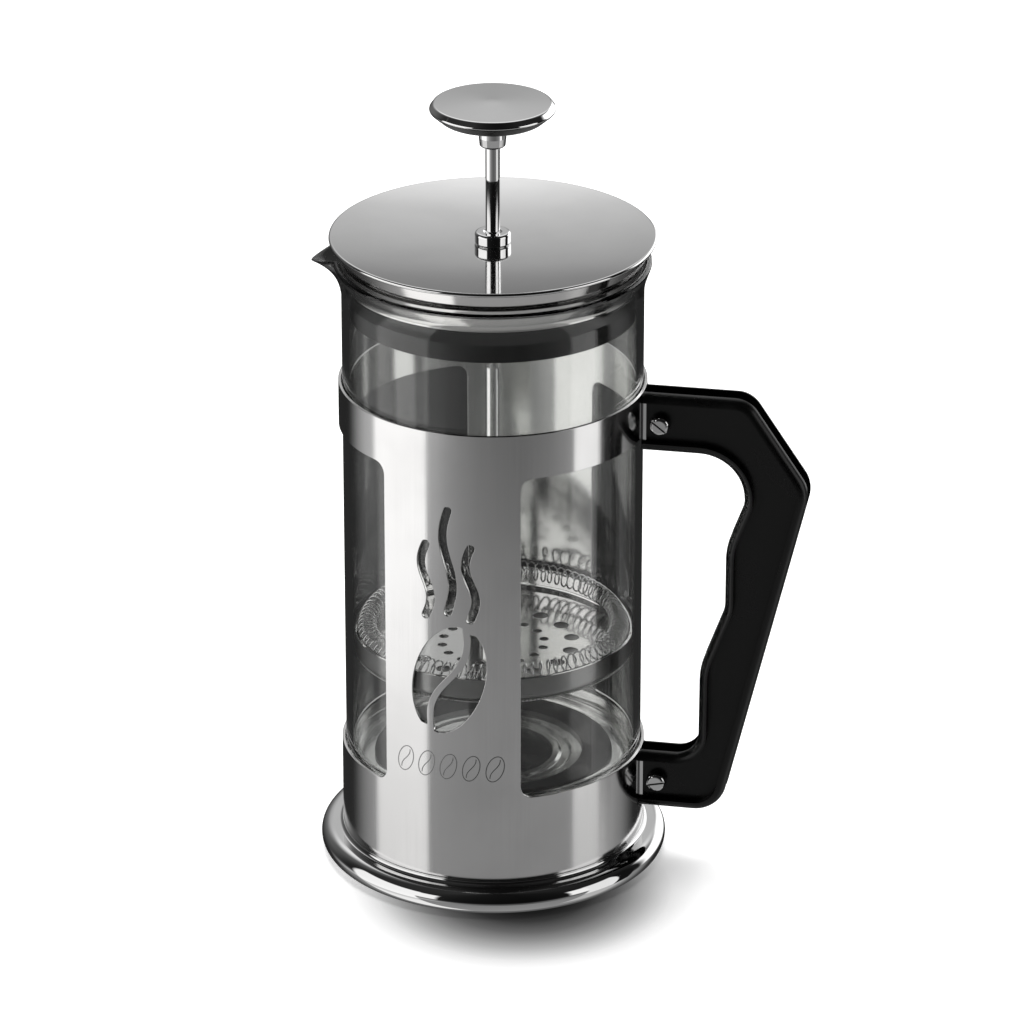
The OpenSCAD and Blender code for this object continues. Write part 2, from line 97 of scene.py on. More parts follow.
def rounded(corners: list, steps: int = 8, least: float = 0.08, closed: bool = True) -> Outline:
    """Rounds the corners of a polygon.

    Each corner becomes an arc that touches both sides: its centre lies on the corner's bisector at
    radius / sin(half angle), and its points turn evenly from one tangent point to the other. The
    normals point away from the arc's centre on an outer corner and towards it on an inner one.

    Args:
        corners: rows of x, y and an optional radius, counter-clockwise for outward normals.
        steps: segments in each arc.
        least: the radius of a corner that names none.
        closed: whether the last corner joins the first; the two ends of an open run stay sharp.

    Returns:
        The rounded run with its normals.
    """
    xy = np.array([c[:2] for c in corners], float)
    count = len(xy)
    points, normals = [], []
    for i, corner in enumerate(corners):
        here = xy[i]
        ends = not closed and i in (0, count - 1)
        back = xy[i - 1] - here if i or closed else here - xy[1]
        ahead = xy[(i + 1) % count] - here if i < count - 1 or closed else here - xy[i - 1]
        u, v = back / np.linalg.norm(back), ahead / np.linalg.norm(ahead)
        if ends:
            side = ahead if i == 0 else -back
            side = side / np.linalg.norm(side)
            points.append(here[None])
            normals.append(np.array([[side[1], -side[0]]]))
            continue
        radius = corner[2] if len(corner) > 2 else least
        half = math.acos(np.clip(u @ v, -1, 1)) / 2
        shorter = min(np.linalg.norm(back), np.linalg.norm(ahead))
        radius = min(radius, 0.49 * math.tan(half) * shorter * 2)
        bisector = (u + v) / np.linalg.norm(u + v)
        centre = here + bisector * radius / math.sin(half)
        first, last = (here + leg * radius / math.tan(half) - centre for leg in (u, v))
        start = math.atan2(first[1], first[0])
        sweep = (math.atan2(last[1], last[0]) - start + math.pi) % (2 * math.pi) - math.pi
        turn = start + sweep * np.linspace(0, 1, steps + 1)
        arc = np.stack([np.cos(turn), np.sin(turn)], 1)
        points.append(centre + radius * arc)
        normals.append(arc if sweep > 0 else -arc)
    return Outline(np.vstack(points), np.vstack(normals))


def blended(run: list, *radii: float) -> list:
    """Gives the inner points of an open run the radii at which their arcs nearly meet.

    Args:
        run: the points from one end to the other.
        radii: the radius of the last point, if it has one.

    Returns:
        The corners for rounded().
    """
    points = np.array(run, float)
    legs = np.diff(points, axis=0)
    length = np.linalg.norm(legs, axis=1)
    bend = np.abs(np.diff(np.unwrap(np.arctan2(legs[:, 1], legs[:, 0]))))
    radius = 0.49 * np.minimum(length[:-1], length[1:]) / np.tan(np.maximum(bend, 1e-4) / 2)
    inner = [(float(x), float(y), float(r)) for (x, y), r in zip(points[1:-1], radius)]
    return [tuple(points[0]), *inner, (*points[-1], *radii)]


def densified(outline: Outline, spacing: float) -> Outline:
    """Adds evenly spaced points along the long sides of a closed run, with blended normals."""
    points = np.vstack([outline.points, outline.points[:1]])
    normals = np.vstack([outline.normals, outline.normals[:1]])
    along = np.concatenate([[0], np.cumsum(np.linalg.norm(np.diff(points, axis=0), axis=1))])
    extra = np.arange(0, along[-1], spacing)
    near = np.abs(extra[:, None] - along[None]).min(1) < 0.3 * spacing
    at = np.sort(np.concatenate([along[:-1], extra[~near]]))
    pick = [np.interp(at, along, column) for column in (*points.T, *normals.T)]
    directions = np.stack(pick[2:], 1)
    return Outline(np.stack(pick[:2], 1), unit(directions))


def unit(rows: np.ndarray) -> np.ndarray:
    """Returns each row with the length one."""
    return rows / np.maximum(np.linalg.norm(rows, axis=1), TINY)[:, None]


def right_of(steps: np.ndarray) -> np.ndarray:
    """Returns the unit direction to the right of each step in a plane."""
    return unit(np.stack([steps[:, 1], -steps[:, 0]], 1))


def by_size(faces: list) -> list:
    """Returns the triangles and the quads, each as the number of corners and the rows that have it."""
    found = [(size, np.array([f for f in faces if len(f) == size], int)) for size in (3, 4)]
    return [(size, rows) for size, rows in found if len(rows)]


def signed_volume(verts: np.ndarray, faces: list) -> float:
    """Sums the volumes of the pyramids from the origin to each face's fan of triangles."""
    total = 0.0
    for size, rows in by_size(faces):
        for k in range(1, size - 1):
            a, b, c = verts[rows[:, 0]], verts[rows[:, k]], verts[rows[:, k + 1]]
            total += float(np.einsum("ij,ij->", a, np.cross(b, c))) / 6
    return total


def build(
    name: str, verts: np.ndarray, faces: list, normals: np.ndarray | None = None, sharp: float = 0
) -> Piece:
    """Puts a shape into a new object at the origin, facing outwards.

    Args:
        name: the piece's name.
        verts: points in millimetres.
        faces: rows of vertex numbers.
        normals: exact vertex normals, or None to let Blender average them.
        sharp: the angle in degrees above which edges are sharp, or 0 for none.

    Returns:
        The new object, with its mesh in metres.
    """
    if signed_volume(verts, faces) < 0:
        faces = [tuple(reversed(f)) for f in faces]
    mesh = bpy.data.meshes.new(name)
    mesh.from_pydata((verts * MM).tolist(), [], faces)
    mesh.polygons.foreach_set("use_smooth", np.ones(len(mesh.polygons), bool))
    if normals is not None:
        mesh.normals_split_custom_set_from_vertices(normals.tolist())
    elif sharp:
        mesh.set_sharp_from_angle(angle=math.radians(sharp))
    mesh.update()
    piece = bpy.data.objects.new(name, mesh)
    bpy.context.scene.collection.objects.link(piece)
    return piece


def ring_faces(rows: int, columns: int, wrap_rows: bool, start: int = 0) -> np.ndarray:
    """Numbers the quads of a grid whose columns close on themselves, and whose rows may."""
    i, j = np.meshgrid(np.arange(rows if wrap_rows else rows - 1), np.arange(columns), indexing="ij")
    k, m = (i + 1) % rows, (j + 1) % columns
    quads = np.stack([i * columns + j, i * columns + m, k * columns + m, k * columns + j], -1)
    return quads.reshape(-1, 4) + start


def pole_fans(columns: int, total: int) -> list:
    """Numbers the triangles that close a grid's first and last rows at the two points after it."""
    j = np.arange(columns)
    m = (j + 1) % columns
    last = total - columns
    first_fan = np.stack([np.full(columns, total), m, j], 1)
    last_fan = np.stack([np.full(columns, total + 1), last + j, last + m], 1)
    return [*first_fan.tolist(), *last_fan.tolist()]


def lathe(name: str, outline: Outline, segments: int = 192) -> Piece:
    """Turns a profile round the pot's axis.

    A point is (r cos a, r sin a, z) for each profile point (r, z) and each angle a. A profile that
    begins and ends on the axis gets one vertex and a fan at each pole; any other is a closed ring.

    Args:
        name: the piece's name.
        outline: profile in r and z, in millimetres.
        segments: steps round the axis.

    Returns:
        The new object.
    """
    angle = 2 * np.pi * np.arange(segments) / segments
    r, z = outline.points.T
    poles = r[0] < 1e-6 and r[-1] < 1e-6
    body = slice(1, -1) if poles else slice(None)

    def spun(across: np.ndarray, along: np.ndarray) -> np.ndarray:
        """Turns pairs of a part across the axis and a part along it round the axis."""
        sides = (np.outer(across, np.cos(angle)), np.outer(across, np.sin(angle)))
        return np.stack([*sides, np.outer(along, np.ones(segments))], -1).reshape(-1, 3)

    verts, normals = spun(r[body], z[body]), spun(*outline.normals[body].T)
    total = len(verts)
    faces = ring_faces(total // segments, segments, not poles).tolist()
    if poles:
        verts = np.vstack([verts, [[0, 0, z[0]], [0, 0, z[-1]]]])
        ends = [[0, 0, math.copysign(1, outline.normals[end, 1])] for end in (0, -1)]
        normals = np.vstack([normals, ends])
        faces += pole_fans(segments, total)
    if signed_volume(verts, faces) < 0:
        faces = [f[::-1] for f in faces]
    facing = np.einsum("ij,ij->i", normals, vertex_normals(verts, faces))
    normals = np.where(facing[:, None] < 0, -normals, normals)
    return build(name, verts, faces, normals)


def vertex_normals(verts: np.ndarray, faces: list) -> np.ndarray:
    """Averages the face normals round each vertex, weighted by area."""
    out = np.zeros_like(verts)
    for size, rows in by_size(faces):
        corner = [verts[rows[:, k]] for k in (0, 1, 2, size - 1)]
        n = np.cross(corner[2] - corner[0], corner[3] - corner[1])
        for k in range(size):
            np.add.at(out, rows[:, k], n)
    return unit(out)


def inside(points: np.ndarray, loop: np.ndarray) -> np.ndarray:
    """Tells which points lie in a closed loop, by counting the sides that each one's ray crosses."""
    a, b = loop, np.roll(loop, -1, 0)
    x, y = points[:, 0][:, None], points[:, 1][:, None]
    spans = (a[:, 1] > y) != (b[:, 1] > y)
    rise = np.where(b[:, 1] == a[:, 1], 1e-12, b[:, 1] - a[:, 1])
    return (spans & (x < a[:, 0] + (y - a[:, 1]) * (b[:, 0] - a[:, 0]) / rise)).sum(1) % 2 == 1


@dataclass
class Punched:
    """A flat region with holes, cut into triangles, that a mapping can bend into a sheet."""

    points: np.ndarray
    triangles: np.ndarray
    rims: list
    period: float = 0.0

    @classmethod
    def cut(cls, grid: np.ndarray, edges: list, holes: list, clear: float = 0.35) -> "Punched":
        """Cuts a region into triangles.

        The grid's points and the outlines are joined by a constrained Delaunay triangulation, and
        the triangles whose middles lie in a hole, or outside every edge, are dropped.

        Args:
            grid: inner points that shape the bent sheet.
            edges: outer loops, counter-clockwise.
            holes: loops that are cut out.
            clear: grid points nearer to an outline than this are left out.

        Returns:
            The region with its rims, each an ordered list of point numbers.
        """
        loops = [np.asarray(loop, float) for loop in (*edges, *holes)]
        outline = np.vstack(loops)
        keep = np.ones(len(grid), bool)
        for part in np.array_split(np.arange(len(grid)), max(1, len(grid) // 500)):
            gap = np.linalg.norm(grid[part][:, None] - outline[None], axis=2).min(1)
            keep[part] = gap > clear
        points = np.vstack([outline, grid[keep]])
        lines, start = [], 0
        for loop in loops:
            number = start + np.arange(len(loop))
            lines += np.stack([number, np.roll(number, -1)], 1).tolist()
            start += len(loop)
        found = delaunay_2d_cdt([Vector(p) for p in points.tolist()], lines, [], 0, 1e-7)
        xy = np.array([tuple(p) for p in found[0]])
        tris = np.array([f for f in found[2] if len(f) == 3], int)
        middle = xy[tris].mean(1)
        within = np.zeros(len(tris), bool)
        for loop in loops[: len(edges)]:
            within |= inside(middle, loop)
        for loop in loops[len(edges):]:
            within &= ~inside(middle, loop)
        tris = tris[within]
        a, b, c = xy[tris[:, 0]], xy[tris[:, 1]], xy[tris[:, 2]]
        area = (b[:, 0] - a[:, 0]) * (c[:, 1] - a[:, 1]) - (b[:, 1] - a[:, 1]) * (c[:, 0] - a[:, 0])
        tris = np.where((area < 0)[:, None], tris[:, ::-1], tris)
        tris = tris[np.abs(area) > 1e-9]
        return cls(xy, tris, cls.find_rims(tris))

    @staticmethod
    def find_rims(tris: np.ndarray) -> list:
        """Chains the sides that only one triangle has into closed loops."""
        sides = np.vstack([tris[:, [0, 1]], tris[:, [1, 2]], tris[:, [2, 0]]])
        known = {tuple(s) for s in sides.tolist()}
        ahead = {a: b for a, b in known if (b, a) not in known}
        rims = []
        while ahead:
            first, here = ahead.popitem()
            rim = [first]
            while here != first:
                rim.append(here)
                here = ahead.pop(here)
            rims.append(rim)
        return rims

    def outward(self, rim: list) -> np.ndarray:
        """Returns the unit direction away from the sheet at each point of a rim.

        Where the sheet closes on itself after a period, a step across the seam goes the short way.
        """
        p = self.points[rim]
        d = np.roll(p, -1, 0) - np.roll(p, 1, 0)
        if self.period:
            d[:, 0] = (d[:, 0] + self.period / 2) % self.period - self.period / 2
        return right_of(d)


def bent_sheet(name: str, flat: Punched, front, back, ease: float) -> Piece:
    """Bends a punched region into a closed sheet with eased edges.

    Both faces are the region's triangles, put in place by two mappings. At each rim four rings join
    them: the front's own rim, a ring at the true outline and one ease below the front, a ring one
    ease above the back, and the back's own rim. The middle rings stand one ease further out, and
    their normals lie in the sheet, so the edge shades as a small round.

    Args:
        name: the piece's name.
        flat: the punched region, already one ease inside the true outline.
        front: function of (points, depth) that gives places and normals on the front at a depth.
        back: the same for the back, with the depth measured from the back.
        ease: the radius of the eased edge.

    Returns:
        The new object.
    """
    top, top_n = front(flat.points, 0)
    bottom, bottom_n = back(flat.points, 0)
    size = len(flat.points)
    verts, normals = [top, bottom], [top_n, bottom_n]
    faces = flat.triangles.tolist() + (flat.triangles[:, ::-1] + size).tolist()
    total = 2 * size
    for rim in flat.rims:
        out = flat.outward(rim)
        edge = flat.points[rim] + ease * out
        upper = front(edge, ease)[0]
        lower = back(edge, ease)[0]
        across = unit(front(edge + 0.01 * out, ease)[0] - upper)
        count = len(rim)
        verts += [upper, lower]
        normals += [across, across]
        middle_rings = [total + np.arange(count), total + count + np.arange(count)]
        rings = [np.array(rim), *middle_rings, np.array(rim) + size]
        for one, two in zip(rings[:-1], rings[1:]):
            faces += np.stack([one, two, np.roll(two, -1), np.roll(one, -1)], 1).tolist()
        total += 2 * count
    verts, faces, normals = welded(np.vstack(verts), faces, np.vstack(normals))
    return build(name, verts, faces, normals)


def welded(verts: np.ndarray, faces: list, normals: np.ndarray) -> tuple:
    """Joins vertices that share a place, and drops the faces that this leaves without an area."""
    _, first, number = np.unique(np.round(verts, 5), axis=0, return_index=True, return_inverse=True)
    number = number.reshape(-1)
    kept = []
    for size, rows in by_size(faces):
        rows = number[rows]
        whole = np.ones(len(rows), bool)
        for k in range(size):
            whole &= rows[:, k] != rows[:, (k + 1) % size]
        kept += rows[whole].tolist()
    return verts[first], kept, normals[first]


def swept(
    name: str, path: np.ndarray, side: np.ndarray, up: np.ndarray, section: np.ndarray, closed: bool
) -> Piece:
    """Carries a closed section along a path.

    A point is path + x * side + y * up for each path point and each section point (x, y). An open
    path is closed at its ends by fans from the section's middle.

    Args:
        name: the piece's name.
        path: points in millimetres.
        side: unit vector for the section's x at each path point.
        up: unit vector for the section's y at each path point.
        section: closed section, in millimetres.
        closed: whether the path joins itself.

    Returns:
        The new object.
    """
    grid = path[:, None] + section[None, :, :1] * side[:, None] + section[None, :, 1:] * up[:, None]
    rows, columns = grid.shape[:2]
    verts = grid.reshape(-1, 3)
    faces = ring_faces(rows, columns, closed).tolist()
    if not closed:
        verts = np.vstack([verts, path[:1], path[-1:]])
        faces += pole_fans(columns, rows * columns)
    return build(name, verts, faces)


def circle(radius: float, count: int, middle: tuple = (0.0, 0.0), turn: float = 0.0) -> np.ndarray:
    """Returns points on a circle, counter-clockwise."""
    a = 2 * np.pi * np.arange(count) / count + turn
    return np.stack([middle[0] + radius * np.cos(a), middle[1] + radius * np.sin(a)], 1)


def enlarged(loop: np.ndarray, by: float) -> np.ndarray:
    """Moves each point of a counter-clockwise loop out along the mean normal of its two sides."""
    return loop + by * right_of(np.roll(loop, -1, 0) - np.roll(loop, 1, 0))


def put(piece: Piece, body: Body, slot: str, finish: Material, *nodes: str) -> Piece:
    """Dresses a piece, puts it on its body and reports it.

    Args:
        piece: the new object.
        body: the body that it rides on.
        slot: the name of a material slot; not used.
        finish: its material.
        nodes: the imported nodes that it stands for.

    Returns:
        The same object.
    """
    piece.data.materials.append(finish)
    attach(piece, body.value)
    if nodes:
        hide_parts(*nodes)
    size, stands_for = len(piece.data.vertices), ", ".join(nodes) or "no node"
    LOG.info("%s: %d vertices on %s for %s", piece.name, size, body.value, stands_for)
    return piece


def refinish(piece: Piece, finish: Material, chosen) -> None:
    """Gives some faces of a turned piece a second finish.

    Args:
        piece: the dressed object.
        finish: the second material.
        chosen: tells from a face's normal and its direction from the axis whether it changes.
    """
    piece.data.materials.append(finish)
    for face in piece.data.polygons:
        across = Vector((face.center[0], face.center[1], 0)).normalized()
        if chosen(face.normal, across):
            face.material_index = 1


# ---------------------------------------------------------------- finishes


class Graph:
    """Adds shader nodes to a tree and links them."""

    def __init__(self, tree: bpy.types.NodeTree) -> None:
        """Starts with an empty tree."""
        self.tree = tree
        tree.nodes.clear()

    def add(self, kind: str, **values) -> bpy.types.Node:
        """Adds a node and sets its properties."""
        node = self.tree.nodes.new(kind)
        for name, value in values.items():
            setattr(node, name, value)
        return node

    def feed(self, socket: Socket, value) -> None:
        """Links a socket to another, or sets its own value."""
        if isinstance(value, Socket):
            self.tree.links.new(value, socket)
        else:
            socket.default_value = value

    def math(self, operation: str, a, b=0.0) -> Socket:
        """Returns the result of a Math node."""
        node = self.add("ShaderNodeMath", operation=operation)
        self.feed(node.inputs[0], a)
        self.feed(node.inputs[1], b)
        return node.outputs[0]

    def ease(self, value, start: float, end: float, low_out: float = 0.0, high_out: float = 1.0):
        """Returns a smooth step of a value from start to end."""
        node = self.add("ShaderNodeMapRange", interpolation_type="SMOOTHSTEP")
        names = ("Value", "From Min", "From Max", "To Min", "To Max")
        for name, v in zip(names, (value, start, end, low_out, high_out)):
            self.feed(node.inputs[name], v)
        return node.outputs[0]

    def ramp(self, value, stops: list, low_in: float = 0.0, high_in: float = 1.0) -> Socket:
        """Returns a straight-line table of grey levels; each stop is (value, level)."""
        span = high_in - low_in
        scaled = self.math("DIVIDE", self.math("SUBTRACT", value, low_in), span)
        node = self.add("ShaderNodeValToRGB")
        self.feed(node.inputs[0], scaled)
        elements = node.color_ramp.elements
        while len(elements) < len(stops):
            elements.new(0.5)
        for element, (at, level) in zip(elements, stops):
            element.position = (at - low_in) / span
            element.color = (level, level, level, 1)
        return node.outputs[0]

    def coordinates(self, scale: tuple = (1, 1, 1)) -> Socket:
        """Returns the object's own coordinates, stretched by a scale."""
        node = self.add("ShaderNodeMapping")
        self.feed(node.inputs["Vector"], self.add("ShaderNodeTexCoord").outputs["Object"])
        node.inputs["Scale"].default_value = scale
        return node.outputs[0]

    def noise(self, vector, scale: float, detail: float = 2.0) -> Socket:
        """Returns the grey level of a noise texture."""
        node = self.add("ShaderNodeTexNoise")
        self.feed(node.inputs["Vector"], vector)
        self.feed(node.inputs["Scale"], scale)
        self.feed(node.inputs["Detail"], detail)
        return node.outputs[0]

    def blend(self, factor, a, b) -> Socket:
        """Returns a mix of two colours."""
        node = self.add("ShaderNodeMix", data_type="RGBA")
        self.feed(node.inputs[0], factor)
        self.feed(node.inputs[6], a)
        self.feed(node.inputs[7], b)
        return node.outputs[2]

    def dot(self, vector, along: tuple) -> Socket:
        """Returns a vector's part along a fixed one."""
        node = self.add("ShaderNodeVectorMath", operation="DOT_PRODUCT")
        self.feed(node.inputs[0], vector)
        node.inputs[1].default_value = along
        return node.outputs["Value"]

    def bump(self, height, strength: float, distance: float) -> Socket:
        """Returns a normal that a height disturbs."""
        node = self.add("ShaderNodeBump")
        self.feed(node.inputs["Height"], height)
        node.inputs["Strength"].default_value = strength
        node.inputs["Distance"].default_value = distance
        return node.outputs[0]


def started(name: str, kind: str = "ShaderNodeBsdfPrincipled") -> tuple:
    """Returns a new node material with its graph and the one shader that its surface shows."""
    made = bpy.data.materials.new(name)
    made.use_nodes = True
    graph = Graph(made.node_tree)
    shader = graph.add(kind)
    graph.feed(graph.add("ShaderNodeOutputMaterial").inputs["Surface"], shader.outputs[0])
    return made, graph, shader


def grey(level: float, warmth: float = 0.0) -> tuple:
    """Returns a grey with a little red added and blue taken away, or the reverse."""
    return (level * (1 + warmth), level, level * (1 - warmth), 1.0)


class Grain(Enum):
    """Ways that a metal surface is worked."""

    UPRIGHT = (2600.0, 2600.0, 24.0)
    MIRROR = (60.0, 60.0, 60.0)
    SPUN = (90.0, 90.0, 2400.0)


@dataclass(frozen=True)
class Metal:
    """Bare or plated metal: a tint with faint stains, and a roughness that fine marks vary."""

    name: str
    tint: float
    roughness: float
    grain: Grain = Grain.MIRROR
    marks: float = 0.04
    relief: float = 0.0
    warmth: float = 0.0

    def material(self) -> Material:
        """Returns the node material."""
        made, g, shader = started(self.name)
        fine = g.noise(g.coordinates(self.grain.value), 1.0, 3.0)
        cloud = g.noise(g.coordinates(), 38.0, 3.0)
        clean, stained = grey(self.tint, self.warmth), grey(0.94 * self.tint, self.warmth)
        g.feed(shader.inputs["Base Color"], g.blend(g.ease(cloud, 0.3, 0.75), clean, stained))
        shader.inputs["Metallic"].default_value = 1.0
        spread = g.math("MULTIPLY", g.math("SUBTRACT", fine, 0.5), 2 * self.marks)
        smear = g.math("MULTIPLY", g.ease(cloud, 0.45, 0.75), 0.5 * self.marks)
        rough = g.math("ADD", g.math("ADD", spread, smear), self.roughness)
        g.feed(shader.inputs["Roughness"], g.math("MAXIMUM", rough, 0.015))
        if self.relief:
            g.feed(shader.inputs["Normal"], g.bump(fine, self.relief, 0.0001))
        return made


@dataclass(frozen=True)
class Moulded:
    """Black or grey moulded plastic or rubber with a fine stipple and faint handling marks."""

    name: str
    tint: float
    roughness: float
    stipple: float = 900.0
    relief: float = 0.12
    specular: float = 0.5

    def material(self) -> Material:
        """Returns the node material."""
        made, g, shader = started(self.name)
        fine = g.noise(g.coordinates(), self.stipple, 2.0)
        cloud = g.noise(g.coordinates(), 45.0, 4.0)
        dark, pale = grey(0.85 * self.tint), grey(1.2 * self.tint)
        rough = g.ease(cloud, 0.3, 0.7, self.roughness - 0.05, self.roughness + 0.05)
        g.feed(shader.inputs["Base Color"], g.blend(cloud, dark, pale))
        g.feed(shader.inputs["Roughness"], rough)
        shader.inputs["Specular IOR Level"].default_value = self.specular
        g.feed(shader.inputs["Normal"], g.bump(fine, self.relief, 0.0001))
        return made


@dataclass(frozen=True)
class Glass:
    """Clear borosilicate glass with a faint cool tint and slight waves in its drawn wall."""

    name: str
    tint: tuple = (0.945, 0.950, 0.942, 1.0)
    index: float = 1.47

    def material(self) -> Material:
        """Returns the node material."""
        made, g, shader = started(self.name)
        waves = g.noise(g.coordinates((30, 30, 6)), 1.0, 1.0)
        thicker = (*(0.99 * c for c in self.tint[:3]), 1.0)
        g.feed(shader.inputs["Base Color"], g.blend(waves, self.tint, thicker))
        shader.inputs["Transmission Weight"].default_value = 1.0
        shader.inputs["Roughness"].default_value = 0.0
        shader.inputs["IOR"].default_value = self.index
        g.feed(shader.inputs["Normal"], g.bump(waves, 0.05, 0.0006))
        return made


@dataclass(frozen=True)
class Woven:
    """Fine wire cloth: two crossed sets of wires in relief, with painted shade between them."""

    name: str
    pitch: float = 0.6

    def material(self) -> Material:
        """Returns the node material."""
        made, g, shader = started(self.name)
        parts = g.add("ShaderNodeSeparateXYZ")
        g.feed(parts.inputs[0], g.coordinates())
        turns = 2 * math.pi / (self.pitch * MM)
        waves = [g.math("SINE", g.math("MULTIPLY", parts.outputs[k], turns)) for k in (0, 1)]
        height = g.math("MAXIMUM", *waves)
        # Near black between the wires is painted shade; the wire tops are mid grey.
        g.feed(shader.inputs["Base Color"], g.blend(g.ease(height, -0.6, 0.6), grey(0.08), grey(0.62)))
        shader.inputs["Metallic"].default_value = 1.0
        shader.inputs["Roughness"].default_value = 0.34
        g.feed(shader.inputs["Normal"], g.bump(height, 0.6, 0.0002))
        return made


def made_from(kind) -> Material:
    """Returns a field that is made from a kind of surface when the set of finishes is."""
    return field(default_factory=kind.material)


@dataclass
class Finishes:
    """Every finish on the pot, made once."""

    frame: Material = made_from(Metal("polished_sheet", 0.80, 0.12, Grain.UPRIGHT, 0.05, 0.05, 0.004))
    chrome: Material = made_from(Metal("chrome", 0.88, 0.035, Grain.MIRROR, 0.02))
    ring: Material = made_from(Metal("spun_chrome", 0.74, 0.03, Grain.MIRROR, 0.02))
    lid: Material = made_from(Metal("mirror_lid", 0.84, 0.07, Grain.MIRROR, 0.03, 0.0, 0.002))
    liner: Material = made_from(Metal("liner_steel", 0.82, 0.10, Grain.SPUN, 0.04, 0.03, 0.01))
    dish: Material = made_from(Metal("dish_steel", 0.80, 0.10, Grain.MIRROR, 0.05, 0.0, 0.004))
    # A dark copy of the dish steel for the dish's outer wall: painted shade.
    painted_shade_steel: Material = made_from(Metal("painted_shade_dish_wall", 0.30, 0.30, Grain.SPUN, 0.06, 0.03))
    wire: Material = made_from(Metal("spring_wire", 0.82, 0.12, Grain.MIRROR, 0.04))
    pressed: Material = made_from(Metal("pressed_steel", 0.88, 0.07, Grain.SPUN, 0.04, 0.02))
    etched: Material = made_from(Metal("etched_line", 0.30, 0.45, Grain.MIRROR, 0.08))
    glass: Material = made_from(Glass("borosilicate"))
    handle: Material = made_from(Moulded("handle_moulding", 0.0015, 0.30, 900.0, 0.05, 0.40))
    insert: Material = made_from(Moulded("insert_moulding", 0.005, 0.45, 900.0, 0.12, 0.25))
    rubber: Material = made_from(Moulded("foot_rubber", 0.012, 0.75, 500.0, 0.3))
    silicone: Material = made_from(Moulded("cushion_silicone", 0.16, 0.6, 600.0, 0.15))
    mesh: Material = made_from(Woven("wire_cloth"))


# ---------------------------------------------------------------- frame


